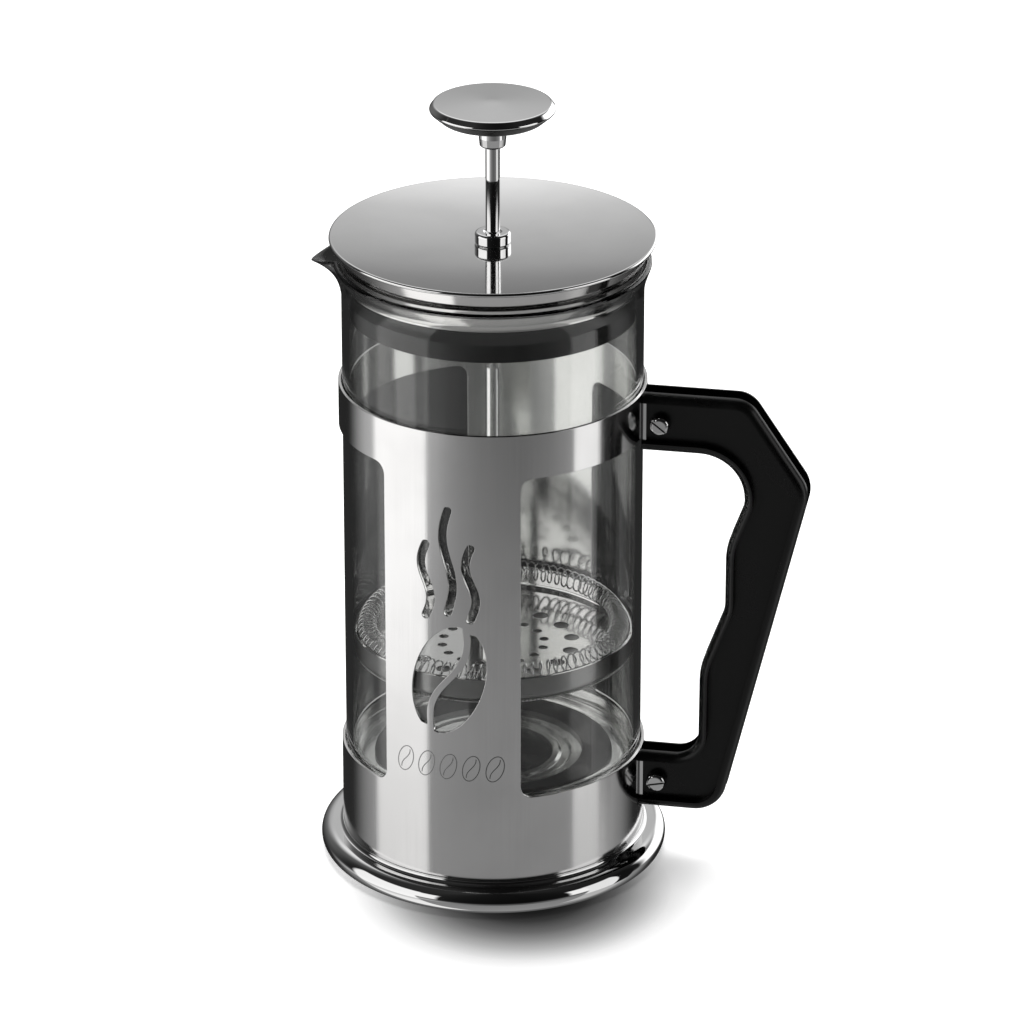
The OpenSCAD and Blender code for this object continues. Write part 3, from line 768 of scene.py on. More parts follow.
@dataclass
class Cage:
    """The polished sheet with its two panels, two windows and cut-outs; sizes in millimetres."""

    thickness: float = 1.0
    skirt: float = 30.1
    band: float = 15.4
    panel: float = 48.3
    turn: float = -6.0
    corner: float = 4.0
    sill: float = 2.4
    bean: tuple = (24.0, 40.0)
    bean_rise: float = 20.0
    steam_rise: float = 4.5
    row_rise: float = 11.0
    tilt: float = -16.0
    web: float = 2.4
    sway: float = 3.0
    slot: float = 2.8
    slot_length: float = 36.0
    slot_gap: float = 7.6
    slot_sway: float = 1.7
    ease: float = 0.16
    radius: float = field(init=False)
    foot: float = field(init=False)
    top: float = field(init=False)

    def __post_init__(self) -> None:
        """Reads the sheet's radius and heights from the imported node."""
        self.radius = float(high("frame_cage")[1])
        self.foot, self.top = float(low("frame_cage")[2]), float(high("frame_cage")[2])

    def window(self, middle: float) -> np.ndarray:
        """Returns a window's outline as (distance round the sheet, height), its middle at an angle."""
        half = self.radius * math.radians(90 - math.degrees(self.panel / self.radius) / 2)
        u = self.radius * math.radians(middle)
        low_z, high_z = self.foot + self.skirt, self.top - self.band
        sides = ((-1, low_z), (1, low_z), (1, high_z), (-1, high_z))
        run = rounded([(u + side * half, level, self.corner) for side, level in sides], 10)
        return densified(run, 1.5).points

    def flat_to_sheet(self, loop: np.ndarray) -> np.ndarray:
        """Carries a loop from the panel's flat, seen square on, to distances round the sheet.

        The cutters run straight through, so a point x across lands at the angle asin(x / radius).
        """
        angle = np.arcsin(loop[:, 0] / self.radius) + math.radians(self.turn - 90)
        return np.stack([self.radius * angle, loop[:, 1]], 1)

    def spin(self) -> np.ndarray:
        """Returns the turn in the plane that leans every bean."""
        t = math.radians(self.tilt)
        return np.array([[math.cos(t), math.sin(t)], [-math.sin(t), math.cos(t)]])

    def bean_halves(self) -> list:
        """Returns the outlines of the bean's two halves: an ellipse parted by a wavy web."""
        low_z = self.foot + self.skirt
        middle = low_z + self.sill + self.bean[1] / 2 + self.bean_rise
        reach = self.bean[1] / 2 + 1
        spin = self.spin()
        halves = []
        for side in (-1, 1):
            y = np.linspace(-0.985, 0.985, 33) * self.bean[1] / 2
            inner = self.sway * np.sin(np.pi * y / reach) + side * self.web / 2
            rim = side * self.bean[0] / 2 * np.sqrt(1 - (2 * y / self.bean[1]) ** 2)
            open_part = side * (rim - inner) > 0.3
            y, inner, rim = y[open_part], inner[open_part], rim[open_part]
            loop = np.vstack([np.stack([rim, y], 1), np.stack([inner, y], 1)[::-1]])
            if side < 0:
                loop = loop[::-1]
            halves.append(loop @ spin + (0, middle))
        return halves

    def steam_slots(self) -> list:
        """Returns the outlines of the three wisps: a sine-shaped line with a round-ended width."""
        low_z = self.foot + self.skirt
        start = low_z + self.sill + self.bean[1] + self.bean_rise + self.steam_rise
        slots = []
        for side in (-1, 0, 1):
            length = self.slot_length if side == 0 else 0.7 * self.slot_length
            t = np.linspace(0, 1, 25)
            line = np.stack([self.slot_sway * np.sin(2 * np.pi * t), length * t], 1)
            out = right_of(np.gradient(line, axis=0))
            caps = []
            for tip, way in ((line[-1], out[-1]), (line[0], -out[0])):
                arc = math.atan2(way[1], way[0]) + np.linspace(0, np.pi, 9)[1:-1]
                caps.append(tip + self.slot / 2 * np.stack([np.cos(arc), np.sin(arc)], 1))
            wall = self.slot / 2 * out
            loop = np.vstack([line + wall, caps[0], (line - wall)[::-1], caps[1]])
            slots.append(loop + (side * self.slot_gap, start - 2 * abs(side)))
        return slots

    def wrap(self, radius: float, inward: bool):
        """Returns the mapping from the flat sheet to a cylinder: angle = distance / sheet radius."""

        def place(points: np.ndarray, depth: float) -> tuple:
            """Maps points to the cylinder at a depth below its face."""
            a = points[:, 0] / self.radius
            r = radius + depth if inward else radius - depth
            out = np.stack([np.cos(a), np.sin(a), np.zeros(len(a))], 1)
            where = out * r
            where[:, 2] = points[:, 1]
            return where, -out if inward else out

        return place

    def make(self, finishes: Finishes) -> None:
        """Builds the sheet and the etched row of beans under the cut-out."""
        seam = math.radians(self.turn + 90)
        turns = np.radians(np.arange(0, 360.1, 1.5)) + seam
        start, end = self.radius * turns[0], self.radius * turns[-1]
        heights = np.linspace(self.foot + self.ease, self.top - self.ease, 27)
        u = self.radius * turns
        edge = np.vstack([
            np.stack([u, np.full(len(u), heights[0])], 1),
            np.stack([np.full(len(heights) - 2, end), heights[1:-1]], 1),
            np.stack([u, np.full(len(u), heights[-1])], 1)[::-1],
            np.stack([np.full(len(heights) - 2, start), heights[1:-1]], 1)[::-1],
        ])
        grid = np.stack(np.meshgrid(u[1:-1], heights[1:-1]), -1).reshape(-1, 2)
        wanted = [self.window(self.turn), self.window(self.turn + 180)]
        wanted += [self.flat_to_sheet(h) for h in (*self.bean_halves(), *self.steam_slots())]
        holes = []
        for hole in wanted:
            middle = hole[:, 0].mean()
            shift = 2 * np.pi * self.radius * math.floor((middle - start) / (2 * np.pi * self.radius))
            holes.append(enlarged(hole - (shift, 0), self.ease))
        flat = Punched.cut(grid, [edge], holes, 0.5)
        put(self._join(flat, start, end), Body.FRAME, "frame_steel", finishes.frame, "frame_cage")
        put(self.etched_row(), Body.FRAME, "frame_steel", finishes.etched)

    def _join(self, flat: Punched, start: float, end: float) -> Piece:
        """Bends the region round, joins it at the seam and adds the eased edges."""
        twin = np.arange(len(flat.points))
        at_end = np.abs(flat.points[:, 0] - end) < 1e-4
        at_start = np.flatnonzero(np.abs(flat.points[:, 0] - start) < 1e-4)
        for k in np.flatnonzero(at_end):
            twin[k] = at_start[np.argmin(np.abs(flat.points[at_start, 1] - flat.points[k, 1]))]
        triangles = twin[flat.triangles]
        rims = Punched.find_rims(triangles)
        closed = Punched(flat.points, triangles, rims, 2 * np.pi * self.radius)
        outer = self.wrap(self.radius, False)
        inner = self.wrap(self.radius - self.thickness, True)
        return bent_sheet("polished_cage", closed, outer, inner, self.ease)

    def etched_row(self) -> Piece:
        """Builds a row of small bean outlines: flat ribbons along an ellipse and its wavy middle."""
        count, wide, tall, pitch, line = 5, 5.4, 9.4, 7.7, 0.34
        middle_z = self.foot + self.skirt + self.row_rise
        verts, faces, total = [], [], 0
        spin = self.spin()
        for k in range(count):
            ring = circle(1, 40) * (wide / 2, tall / 2)
            y = np.linspace(-0.8, 0.8, 15) * tall / 2
            wave = np.stack([0.8 * np.sin(np.pi * y / tall * 1.8), y], 1)
            for path, closed in ((ring, True), (wave, False)):
                d = np.roll(path, -1, 0) - np.roll(path, 1, 0) if closed else np.gradient(path, axis=0)
                out = right_of(d)
                both = np.stack([path - line / 2 * out, path + line / 2 * out], 1).reshape(-1, 2) @ spin
                flat = self.flat_to_sheet(both + ((k - (count - 1) / 2) * pitch, middle_z))
                a = flat[:, 0] / self.radius
                rows = len(path)
                for r in (self.radius + 0.02, self.radius - 0.04):
                    verts.append(np.stack([r * np.cos(a), r * np.sin(a), flat[:, 1]], 1))
                i = np.arange(rows if closed else rows - 1)
                j = (i + 1) % rows
                up = np.stack([2 * i, 2 * i + 1, 2 * j + 1, 2 * j], 1)
                down = up[:, ::-1] + 2 * rows
                left = np.stack([2 * i, 2 * j, 2 * j + 2 * rows, 2 * i + 2 * rows], 1)
                right = np.stack([2 * j + 1, 2 * i + 1, 2 * i + 1 + 2 * rows, 2 * j + 1 + 2 * rows], 1)
                faces += (np.vstack([up, down, left, right]) + total).tolist()
                if not closed:
                    n = 2 * rows
                    ends = np.array([[0, n, n + 1, 1], [n - 2, n - 1, 2 * n - 1, 2 * n - 2]])
                    faces += (ends + total).tolist()
                total += 4 * rows
        return build("etched_beans", np.vstack(verts), faces, sharp=30)


@dataclass
class Base:
    """The spun base ring and the parts under the beaker; sizes in millimetres."""

    sheet: float = 1.2
    collar_rise: float = 5.5
    hole: float = 20.0
    groove: tuple = (22.0, 23.0, 25.5, 26.5)
    groove_depth: float = 0.7

    def make(self, finishes: Finishes) -> None:
        """Builds the ring and the pressed seat, and dresses the pad and the cushion."""
        foot, cage_r = float(low("frame_cage")[2]), float(high("frame_cage")[1])
        out_r, hem, bead = float(high("base_ring")[0]), float(low("base_ring")[2]), foot - 1.5
        collar = cage_r - 1.1
        half = (bead - hem) / 2 - 0.01
        t, lip, step = self.sheet, collar + 3.4, cage_r + 0.3
        ring = rounded([
            (collar - t, bead - t),
            (collar - t, foot + self.collar_rise),
            (collar, foot + self.collar_rise),
            (collar, foot),
            (step, foot, 0.12),
            (step, bead, 1.1),
            (out_r, bead, half),
            (out_r, hem, half),
            (lip, hem),
            (lip, hem + t),
            (out_r - t, hem + t, half - t),
            (out_r - t, bead - t, half - t),
        ][::-1], 14, 0.06)
        put(lathe("spun_base", ring, 256), Body.FRAME, "base_chrome", finishes.ring, "base_ring")
        put(self.seat(collar), Body.FRAME, "seat_steel", finishes.pressed, "beaker_seat")
        for node, finish in (("foot_pad", finishes.rubber), ("seat_cushion", finishes.silicone)):
            dress(node, finish)

    def seat(self, collar: float) -> Piece:
        """Turns the pan under the beaker, with pressed rings in its floor."""
        _, bottom, top = turned("beaker_seat")
        t = self.sheet
        brink, near, far, shore = self.groove
        low_top, under = top - self.groove_depth, top - 1.9 * t
        profile = rounded([
            (collar - t, bottom),
            (collar, bottom),
            (collar, top, 2.2),
            (shore, top),
            (far, low_top, 1.0),
            (near, low_top, 1.0),
            (brink, top),
            (self.hole, top),
            (self.hole, under),
            (collar - t, under, 1.0),
        ], 8, 0.1)
        return lathe("pressed_seat", profile, 160)


def dress(node: str, finish: Material) -> None:
    """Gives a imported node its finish."""
    for slot in frame["nodes"][node].material_slots:
        slot.material = finish
    LOG.info("%s: packed shape with %s", node, finish.name)


@dataclass
class Handle:
    """The moulded side handle and its fixings; sizes in millimetres."""

    thickness: float = 12.0
    ease: float = 3.0
    upper_arm: float = 20.3
    lower_arm: float = 20.2
    tip_ease: float = 0.79
    saddle_gap: float = 0.1
    head: float = 6.4
    head_play: float = 0.2
    head_height: float = 0.9
    sunk: float = 1.0
    nut_seat: float = 4.15
    nut_depth: float = 3.1

    def outline(self) -> Outline:
        """Returns the handle's side view: two arms, a slanted back and a waved finger side."""
        root, tip = float(high("frame_cage")[1]) - 3.0, float(high("handle")[0])
        tip += self.tip_ease
        z, top = float(low("handle")[2]), float(high("handle")[2])
        arm_top, arm_low = top - self.upper_arm, z + self.lower_arm
        back = [(tip - 28.7, z, 11), (tip, top - 30.6, 11), (tip - 20.7, top, 9)]
        fingers = [
            (tip - 21.8, arm_top, 15),
            (tip - 21.8, arm_top - 17.1, 10),
            (tip - 27.7, arm_top - 32.9, 25),
            (tip - 27.7, arm_top - 55, 14),
            (tip - 35.9, arm_low + 32.3, 25),
            (tip - 36.1, arm_low, 8),
        ]
        run = [(root, z), *back, (root, top), (root, arm_top), *fingers, (root, arm_low)]
        return rounded(run, 12, 0.5)

    def make(self, finishes: Finishes) -> None:
        """Builds the moulding with eased edges, and dresses its screws, nuts and brackets."""
        run = densified(self.outline(), 2.0)
        x = run.points[:, 0]
        half = self.thickness / 2
        arc = np.linspace(0, np.pi / 2, 8)
        into, down = self.ease * (1 - np.sin(arc)), self.ease * (1 - np.cos(arc))
        inset = np.concatenate([into[::-1], into])
        depth = np.concatenate([-half + down[::-1], half - down])
        root = x < x.min() + 0.6
        keep = np.stack([np.where(root, 0.0, 1.0), np.ones(len(x))], 1)
        loops = run.points[None] - inset[:, None, None] * (run.normals * keep)[None]
        across = np.broadcast_to(depth[:, None], loops.shape[:2])
        grid = np.stack([loops[..., 0], across, loops[..., 1]], -1)
        rows, columns = grid.shape[:2]
        verts = grid.reshape(-1, 3)
        faces = ring_faces(rows, columns, False).tolist()
        caps = [list(range(columns)), list(range((rows - 1) * columns, rows * columns))[::-1]]
        verts, faces = self._capped(verts, faces, caps)
        reach = float(high("frame_cage")[1]) + self.saddle_gap
        saddle = np.sqrt(reach ** 2 - verts[:, 1] ** 2)
        verts[:, 0] = np.maximum(verts[:, 0], saddle)
        piece = build("moulded_handle", verts, faces, sharp=40)
        put(piece, Body.FRAME, "handle_black", finishes.handle, "handle")
        for level in ("upper", "lower"):
            dress(f"{level}_screw", finishes.chrome)
            dress(f"{level}_bracket", finishes.pressed)
            dress(f"{level}_nut", finishes.chrome)

    def _capped(self, verts: np.ndarray, faces: list, caps: list) -> tuple:
        """Closes the two flat sides with triangles round the sunk seats of the screw heads."""
        total = len(verts)
        parts = [verts]
        for side, cap in enumerate(caps):
            y = verts[cap[0], 1]
            loop = verts[cap][:, [0, 2]]
            if side:
                loop = loop[::-1]
                cap = cap[::-1]
            holes, seats = [], []
            for screw in ("upper_screw", "lower_screw"):
                middle = (low(screw) + high(screw)) / 2
                radius = self.nut_seat if side else self.head / 2 + self.head_play
                count = 6 if side else 32
                holes.append(circle(radius, count, (middle[0], middle[2])))
                seats.append((middle, radius, count))
            flat = Punched.cut(np.zeros((0, 2)), [loop], holes)
            points = np.stack([flat.points[:, 0], np.full(len(flat.points), y), flat.points[:, 1]], 1)
            number = np.arange(len(points)) + total
            number[: len(cap)] = cap
            triangles = number[flat.triangles]
            if side:
                triangles = triangles[:, ::-1]
            faces += triangles.tolist()
            parts.append(points)
            total += len(points)
            start = total - len(points) + len(cap)
            into = -self.nut_depth if side else self.sunk + self.head_height
            for middle, radius, count in seats:
                j = np.arange(count)
                m = (j + 1) % count
                ring = start + j
                inner = total + j
                floor = circle(radius, count, (middle[0], middle[2]))
                rim = np.stack([floor[:, 0], np.full(count, y + into), floor[:, 1]], 1)
                parts.append(np.vstack([rim, [[middle[0], y + into, middle[2]]]]))
                walls = np.stack([ring, start + m, total + m, inner], 1)
                fan = np.stack([inner, total + m, np.full(count, total + count)], 1)
                if side:
                    walls, fan = walls[:, ::-1], fan[:, ::-1]
                faces += walls.tolist() + fan.tolist()
                start += count
                total += count + 1
        verts = np.vstack(parts)
        used = np.unique(np.concatenate([np.ravel(f) for f in faces]))
        number = np.full(len(verts), -1)
        number[used] = np.arange(len(used))
        return verts[used], [tuple(int(number[v]) for v in f) for f in faces]


# ---------------------------------------------------------------- beaker


@dataclass
class Beaker:
    """The blown glass beaker with its pulled spout; sizes in millimetres."""

    wall: float = 2.3
    floor: float = 3.0
    corner: float = 8.0
    flare: float = 2.9
    flare_height: float = 8.2
    flare_bend: float = 20.0
    drop: float = 5.0
    throat: float = 19.0
    spout_turn: float = 15.0
    throat_turn: float = 7.0
    tip_ease: float = 0.95

    def make(self, finishes: Finishes) -> None:
        """Turns the wall as a closed profile and pulls the spout out of it.

        Above the throat a point at the angle a from the spout's middle moves out by
        reach * rise ** 1.6 * (1 - |a| / width), with the peak and the foot of that roof rounded, and
        down by drop * rise ** 3 times the same roof. The width grows from 7 degrees to the full one.
        """
        bottom, rim = float(low("beaker")[2]), float(high("beaker")[2])
        radius = float(high("beaker")[1]) - self.flare
        bore = radius - self.wall
        flare_z = rim - self.flare_height
        run = rounded([
            (0, bottom),
            (radius, bottom, self.corner),
            (radius, flare_z, self.flare_bend),
            (radius + self.flare, rim, 1.1),
            (bore + self.flare, rim, 1.1),
            (bore, flare_z, self.flare_bend + self.wall),
            (bore, bottom + self.floor, self.corner - self.wall),
            (0, bottom + self.floor),
        ], 10, closed=False)
        guard = self._guarded(run, rim - self.throat - 2)
        reach = -float(low("beaker")[0]) - radius - self.flare + self.tip_ease
        segments = 360
        turns = np.linspace(-np.pi, np.pi, segments, endpoint=False)
        r, z = guard[1:-1].T
        rise = np.clip((z - (rim - self.throat)) / self.throat, 0, 1)[:, None]
        width = np.radians(self.throat_turn + (self.spout_turn - self.throat_turn) * rise)
        roof = self._roof(np.abs(turns)[None] / width)
        rr = r[:, None] + reach * rise ** 1.6 * roof
        zz = z[:, None] - self.drop * rise ** 3 * roof
        angle = turns + np.pi
        grid = np.stack([rr * np.cos(angle), rr * np.sin(angle), zz], -1)
        verts = np.vstack([grid.reshape(-1, 3), [[0, 0, guard[0, 1]], [0, 0, guard[-1, 1]]]])
        faces = ring_faces(len(r), segments, False).tolist()
        faces += pole_fans(segments, len(r) * segments)
        put(build("blown_beaker", verts, faces), Body.BEAKER, "beaker_glass", finishes.glass, "beaker")

    @staticmethod
    def _roof(share: np.ndarray) -> np.ndarray:
        """Returns 1 at the middle falling to 0 at the edge, with a rounded ridge and foot."""
        ridge, foot = 0.16, 0.10
        slope = 1 - (np.sqrt(share ** 2 + ridge ** 2) - ridge) / (math.sqrt(1 + ridge ** 2) - ridge)
        eased = np.maximum(0, (slope + foot)) ** 2 / (4 * foot)
        return np.where(share > 1 + foot, 0, np.where(slope > foot, slope, eased))

    @staticmethod
    def _guarded(run: Outline, above: float) -> np.ndarray:
        """Adds rows close to the arcs' ends everywhere, and even rows above a height."""
        points = run.points
        rows = [points[0]]
        guard, step = 0.4, 1.2
        for a, b in zip(points[:-1], points[1:]):
            length = float(np.linalg.norm(b - a))
            if length > step:
                at = [guard / length, 1 - guard / length]
                if b[1] < a[1] and a[1] > above:
                    stop = min(1.0, (a[1] - above) / (a[1] - b[1]))
                    at += list(np.arange(step, stop * length, step) / length)
                if b[1] > a[1] and b[1] > above:
                    start = max(0.0, (above - a[1]) / (b[1] - a[1]))
                    at += list(np.arange(start * length + step / 2, length - step / 2, step) / length)
                rows += [a + (b - a) * s for s in sorted(set(s for s in at if 0 < s < 1))]
            rows.append(b)
        return np.array(rows)


# ---------------------------------------------------------------- lid


@dataclass
class Lid:
    """The dished lid, its tapered liner, the plastic insert and the rod's bushing; in millimetres."""

    sheet: float = 0.8
    dish: float = 3.3
    edge: float = 1.5
    curve: float = 2.0
    shank: float = 4.0
    insert_depth: float = 11.1

    def make(self, finishes: Finishes) -> None:
        """Turns the lid's parts and dresses the nut inside.

        The lid's upper face stands dish * share ** curve over its middle, where share is the radius
        over the rim's radius.
        """
        out_r, top = float(high("lid_cap")[0]), float(high("lid_cap")[2])
        flat, foot = top - self.dish, top - self.edge
        bore = self.shank + 0.1
        t = self.sheet
        share = np.linspace(0.24, 0.94, 9)
        upper = np.stack([share * out_r, flat + self.dish * share ** self.curve], 1)
        hem = out_r * ((self.dish - self.edge + t) / self.dish) ** (1 / self.curve)
        under = upper[upper[:, 0] < hem - 1.5] - (0, t)
        half = self.edge / 2 - 0.02
        below = blended([(bore, flat - t), *under, (hem, foot)])
        above = blended([(out_r - 0.01, top), *upper[::-1], (bore, flat)])[1:]
        cap = rounded([*below, (out_r, foot, half), (out_r, top, half), *above], 6)
        put(lathe("dished_lid", cap, 256), Body.LID, "lid_steel", finishes.lid, "lid_cap")
        put(self.liner(), Body.LID, "liner_steel", finishes.liner, "lid_liner")
        put(self.insert(), Body.LID, "insert_black", finishes.insert, "lid_insert")
        put(self.bushing(flat), Body.LID, "rod_chrome", finishes.chrome, "rod_bushing")
        dress("bushing_nut", finishes.chrome)

    def liner(self) -> Piece:
        """Turns the tapered band between the lid's edge and the beaker's mouth."""
        top_r, tip_z, top = turned("lid_liner")
        rim = float(high("beaker")[2])
        bore = float(high("beaker")[1]) - Beaker.flare - Beaker.wall
        tip_r, neck_r, t = bore - 0.4, bore + 2.1, self.sheet
        profile = rounded([
            (tip_r - t, tip_z),
            (tip_r, tip_z),
            (tip_r, tip_z + 1.4, 4),
            (neck_r, rim - 0.3, 12),
            (top_r, top),
            (top_r - t, top),
            (neck_r - t, rim - 0.3, 12.8),
            (tip_r - t, tip_z + 1.6, 3.2),
        ], 10)
        return lathe("tapered_liner", profile, 224)

    def insert(self) -> Piece:
        """Turns the black insert: a web at the top, a hub and a deep outer wall."""
        r, z, top = turned("lid_insert")
        shoulder = z + self.insert_depth
        web = shoulder - 2
        bore, wall, neck, hub = self.shank + 0.1, 2.2, r - 0.7, 8.0
        profile = rounded([
            (bore, web),
            (r - wall, web, 1.5),
            (r - wall, z, 0.8),
            (r, z, 1.0),
            (r, shoulder - 0.2, 0.6),
            (neck, shoulder - 0.2),
            (neck, web + 3, 0.6),
            (hub, web + 3, 2),
            (hub, top),
            (bore, top),
        ], 8, 0.15)
        return lathe("plastic_insert", profile, 192)

    def bushing(self, flat: float) -> Piece:
        """Turns the collar that guides the rod."""
        r, z, top = turned("rod_bushing")
        slide = float(high("plunger_rod")[0]) + ROD_PLAY
        profile = rounded([
            (slide, z),
            (self.shank, z, 0.3),
            (self.shank, flat),
            (r, flat, 0.9),
            (r, top, 1.1),
            (slide + 0.7, top, 0.4),
            (slide, top - 0.6),
        ], 8)
        return lathe("collar_bushing", profile, 96)


# ---------------------------------------------------------------- plunger


@dataclass
class Plunger:
    """The knob, rod and filter; sizes in millimetres."""

    sheet: float = 0.6
    holes: int = 16
    outer: tuple = (26.6, 5.1)
    inner: tuple = (17.2, 3.1)
    turn: float = -4.0
    loops: int = 92
    wire: float = 0.62
    loop_radius: float = 3.3

    def make(self, finishes: Finishes) -> None:
        """Builds the knob, rod, boss, dish and coil, and dresses the parts under the dish."""
        knob = put(self.knob(), Body.PLUNGER, "knob_chrome", finishes.chrome, "knob")
        # The knob's downward faces get the black insert plastic: a painted dark reflection on what is a
        # chrome underside.
        refinish(knob, finishes.insert, lambda normal, across: normal.z < -0.3)
        put(self.ferrule(), Body.PLUNGER, "rod_chrome", finishes.chrome, "knob_ferrule")
        put(self.rod(), Body.PLUNGER, "rod_chrome", finishes.chrome, "plunger_rod")
        put(self.boss(), Body.PLUNGER, "filter_steel", finishes.dish, "rod_boss")
        dish = put(self.dish(), Body.PLUNGER, "filter_steel", finishes.dish, "filter_dish")
        # The dish's outward-facing wall gets the dark steel copy: painted shade on the same steel.
        refinish(dish, finishes.painted_shade_steel, lambda normal, across: normal.dot(across) > 0.8)
        put(self.coil(), Body.PLUNGER, "spring_steel", finishes.wire, "filter_coil")
        dress("filter_mesh", finishes.mesh)
        dress("cross_plate", finishes.dish)
        dress("filter_nut", finishes.chrome)

    def knob(self) -> Piece:
        """Turns the disc knob: a shallow cone below, a narrow rim, a bevel and a slight crown."""
        r, z, top = turned("knob")
        profile = rounded([
            (0, z),
            (5.5, z, 1),
            (r - 4.2, z + 1.0, 4),
            (r, z + 4.6, 0.8),
            (r, z + 5.2, 0.8),
            (r - 1.3, top - 0.6, 1.1),
            (0, top),
        ], 12, closed=False)
        return lathe("disc_knob", self._filled(profile), 192)

    @staticmethod
    def _filled(run: Outline) -> Outline:
        """Adds rows along the long straight sides of an open run."""
        points, normals = [run.points[0]], [run.normals[0]]
        for a, b, n, m in zip(run.points[:-1], run.points[1:], run.normals[:-1], run.normals[1:]):
            count = int(np.linalg.norm(b - a) // 2.5)
            for s in np.linspace(0, 1, count + 2)[1:]:
                points.append(a + (b - a) * s)
                normals.append((n + (m - n) * s) / np.linalg.norm(n + (m - n) * s))
        return Outline(np.array(points), np.array(normals))

    def ferrule(self) -> Piece:
        """Turns the collar under the knob."""
        r, z, top = turned("knob_ferrule")
        side = [(r - 0.3, z, 0.8), (r, z + 3.2, 1.5), (r, top, 0.15)]
        profile = rounded([(0, z), *side, (0, top)], 8, closed=False)
        return lathe("knob_collar", self._filled(profile), 96)

    def rod(self) -> Piece:
        """Turns the rod with a small chamfer at its foot."""
        r, z, top = turned("plunger_rod")
        profile = rounded([(0, z), (r, z, 0.5), (r, top, 0.2), (0, top)], 6, closed=False)
        return lathe("chromed_rod", self._filled(profile), 64)

    def boss(self) -> Piece:
        """Turns the boss that clamps the dish."""
        r, z, top = turned("rod_boss")
        slide = float(high("plunger_rod")[0]) + ROD_PLAY
        profile = rounded([(slide, z), (r, z), (r, top, 0.9), (slide, top)], 8)
        return lathe("filter_boss", profile, 72)

    def dish(self) -> Piece:
        """Builds the perforated dish as one bent sheet.

        A flat point at the distance s from the middle goes to the point at the length s along the
        dish's profile, at the same angle, so the holes in the flat floor stay round.
        """
        r, z, top = turned("filter_dish")
        t, ease = self.sheet, 0.1
        slide = float(high("plunger_rod")[0]) + ROD_PLAY
        bend = 1.6
        profile = rounded([(0, z + t), (r - t, z + t, bend), (r - t, top)], 16, closed=False)
        p = profile.points
        along = np.concatenate([[0], np.cumsum(np.linalg.norm(np.diff(p, axis=0), axis=1))])
        length = along[-1]

        def face(back: bool):
            """Returns the mapping to the dish's upper or lower face."""

            def place(points: np.ndarray, depth: float) -> tuple:
                """Maps flat points to the dish at a depth below that face."""
                s = np.linalg.norm(points, axis=1)
                away = points / np.maximum(s, 1e-9)[:, None]
                rr, zz = (np.interp(s, along, p[:, k]) for k in (0, 1))
                nr, nz = (np.interp(s, along, profile.normals[:, k]) for k in (0, 1))
                size = np.hypot(nr, nz)
                nr, nz = nr / size, nz / size
                flip = -1.0 if nz[np.argmin(s)] < 0 else 1.0
                nr, nz = flip * nr, flip * nz
                shift = -depth if not back else depth - t
                out = np.stack([away[:, 0] * nr, away[:, 1] * nr, nz], 1)
                reach = rr + shift * nr
                where = np.stack([away[:, 0] * reach, away[:, 1] * reach, zz + shift * nz], 1)
                return where, -out if back else out

            return place

        level = 40
        wall_foot = along[-2]
        rings = np.concatenate([
            np.arange(slide + 1.5, level, 2.6),
            np.linspace(level + 1, wall_foot + 0.05, 16),
            np.linspace(wall_foot + 1, length - 0.8, 5),
        ])
        counts = np.where(rings > level, 144, np.maximum(24, (rings * 2).astype(int)))
        turns = np.where(rings < level, 0.01 * np.arange(len(rings)), 0.0)
        grid = np.vstack([circle(a, n, turn=turn) for a, n, turn in zip(rings, counts, turns)])
        turn = math.radians(self.turn)
        angles = turn + 2 * np.pi * np.arange(self.holes) / self.holes
        loops = [circle(slide + ease, 40)]
        for ring, wide in (self.outer, self.inner):
            middles = [(ring * math.cos(a), ring * math.sin(a)) for a in angles]
            loops += [circle(wide / 2 + ease, 28, middle) for middle in middles]
        flat = Punched.cut(grid, [circle(length - ease, 144)], loops, 0.4)
        return bent_sheet("perforated_dish", flat, face(False), face(True), ease)

    def coil(self) -> Piece:
        """Winds the spring round the dish.

        The wire's middle runs on a ring-shaped tube: at the angle a round the pot it stands at the
        angle loops * a round the tube, with a slow wave in its lean, as a spring pushed into a ring
        has. The section's two directions are the tube's own outward direction and the cross product
        of that with the wire's direction.
        """
        lo, hi = low("filter_coil"), high("filter_coil")
        tube = self.loop_radius - self.wire / 2
        ring = float(hi[0]) - self.loop_radius
        middle = float(hi[2] + lo[2]) / 2
        a = 2 * np.pi * np.arange(self.loops * 22) / (self.loops * 22)
        phase = self.loops * a + 0.5 * np.sin(5 * a) + 0.35 * np.sin(13 * a + 1.0)
        lean = a + 0.012 * np.sin(self.loops * a) + 0.004 * np.sin(31 * a)
        size = tube * (1 - 0.015 + 0.015 * np.sin(9 * a))
        out = np.stack([np.cos(lean), np.sin(lean), np.zeros_like(a)], 1)
        up = np.array([0.0, 0.0, 1.0])
        radial = np.cos(phase)[:, None] * out + np.sin(phase)[:, None] * up
        path = ring * out + size[:, None] * radial + middle * up
        ahead = unit(np.roll(path, -1, 0) - np.roll(path, 1, 0))
        side = unit(radial - np.einsum("ij,ij->i", radial, ahead)[:, None] * ahead)
        return swept("coil_spring", path, side, np.cross(ahead, side), circle(self.wire / 2, 7), True)


# ---------------------------------------------------------------- studio

# Grey levels of the contact shadow painted on the floor, by the distance from its middle over its half
# width.
PAINTED_SHADOW = [(0.5, 0.015), (0.65, 0.04), (0.85, 0.13), (1.0, 0.25), (1.16, 0.42), (1.4, 0.75), (1.7, 1.0)]
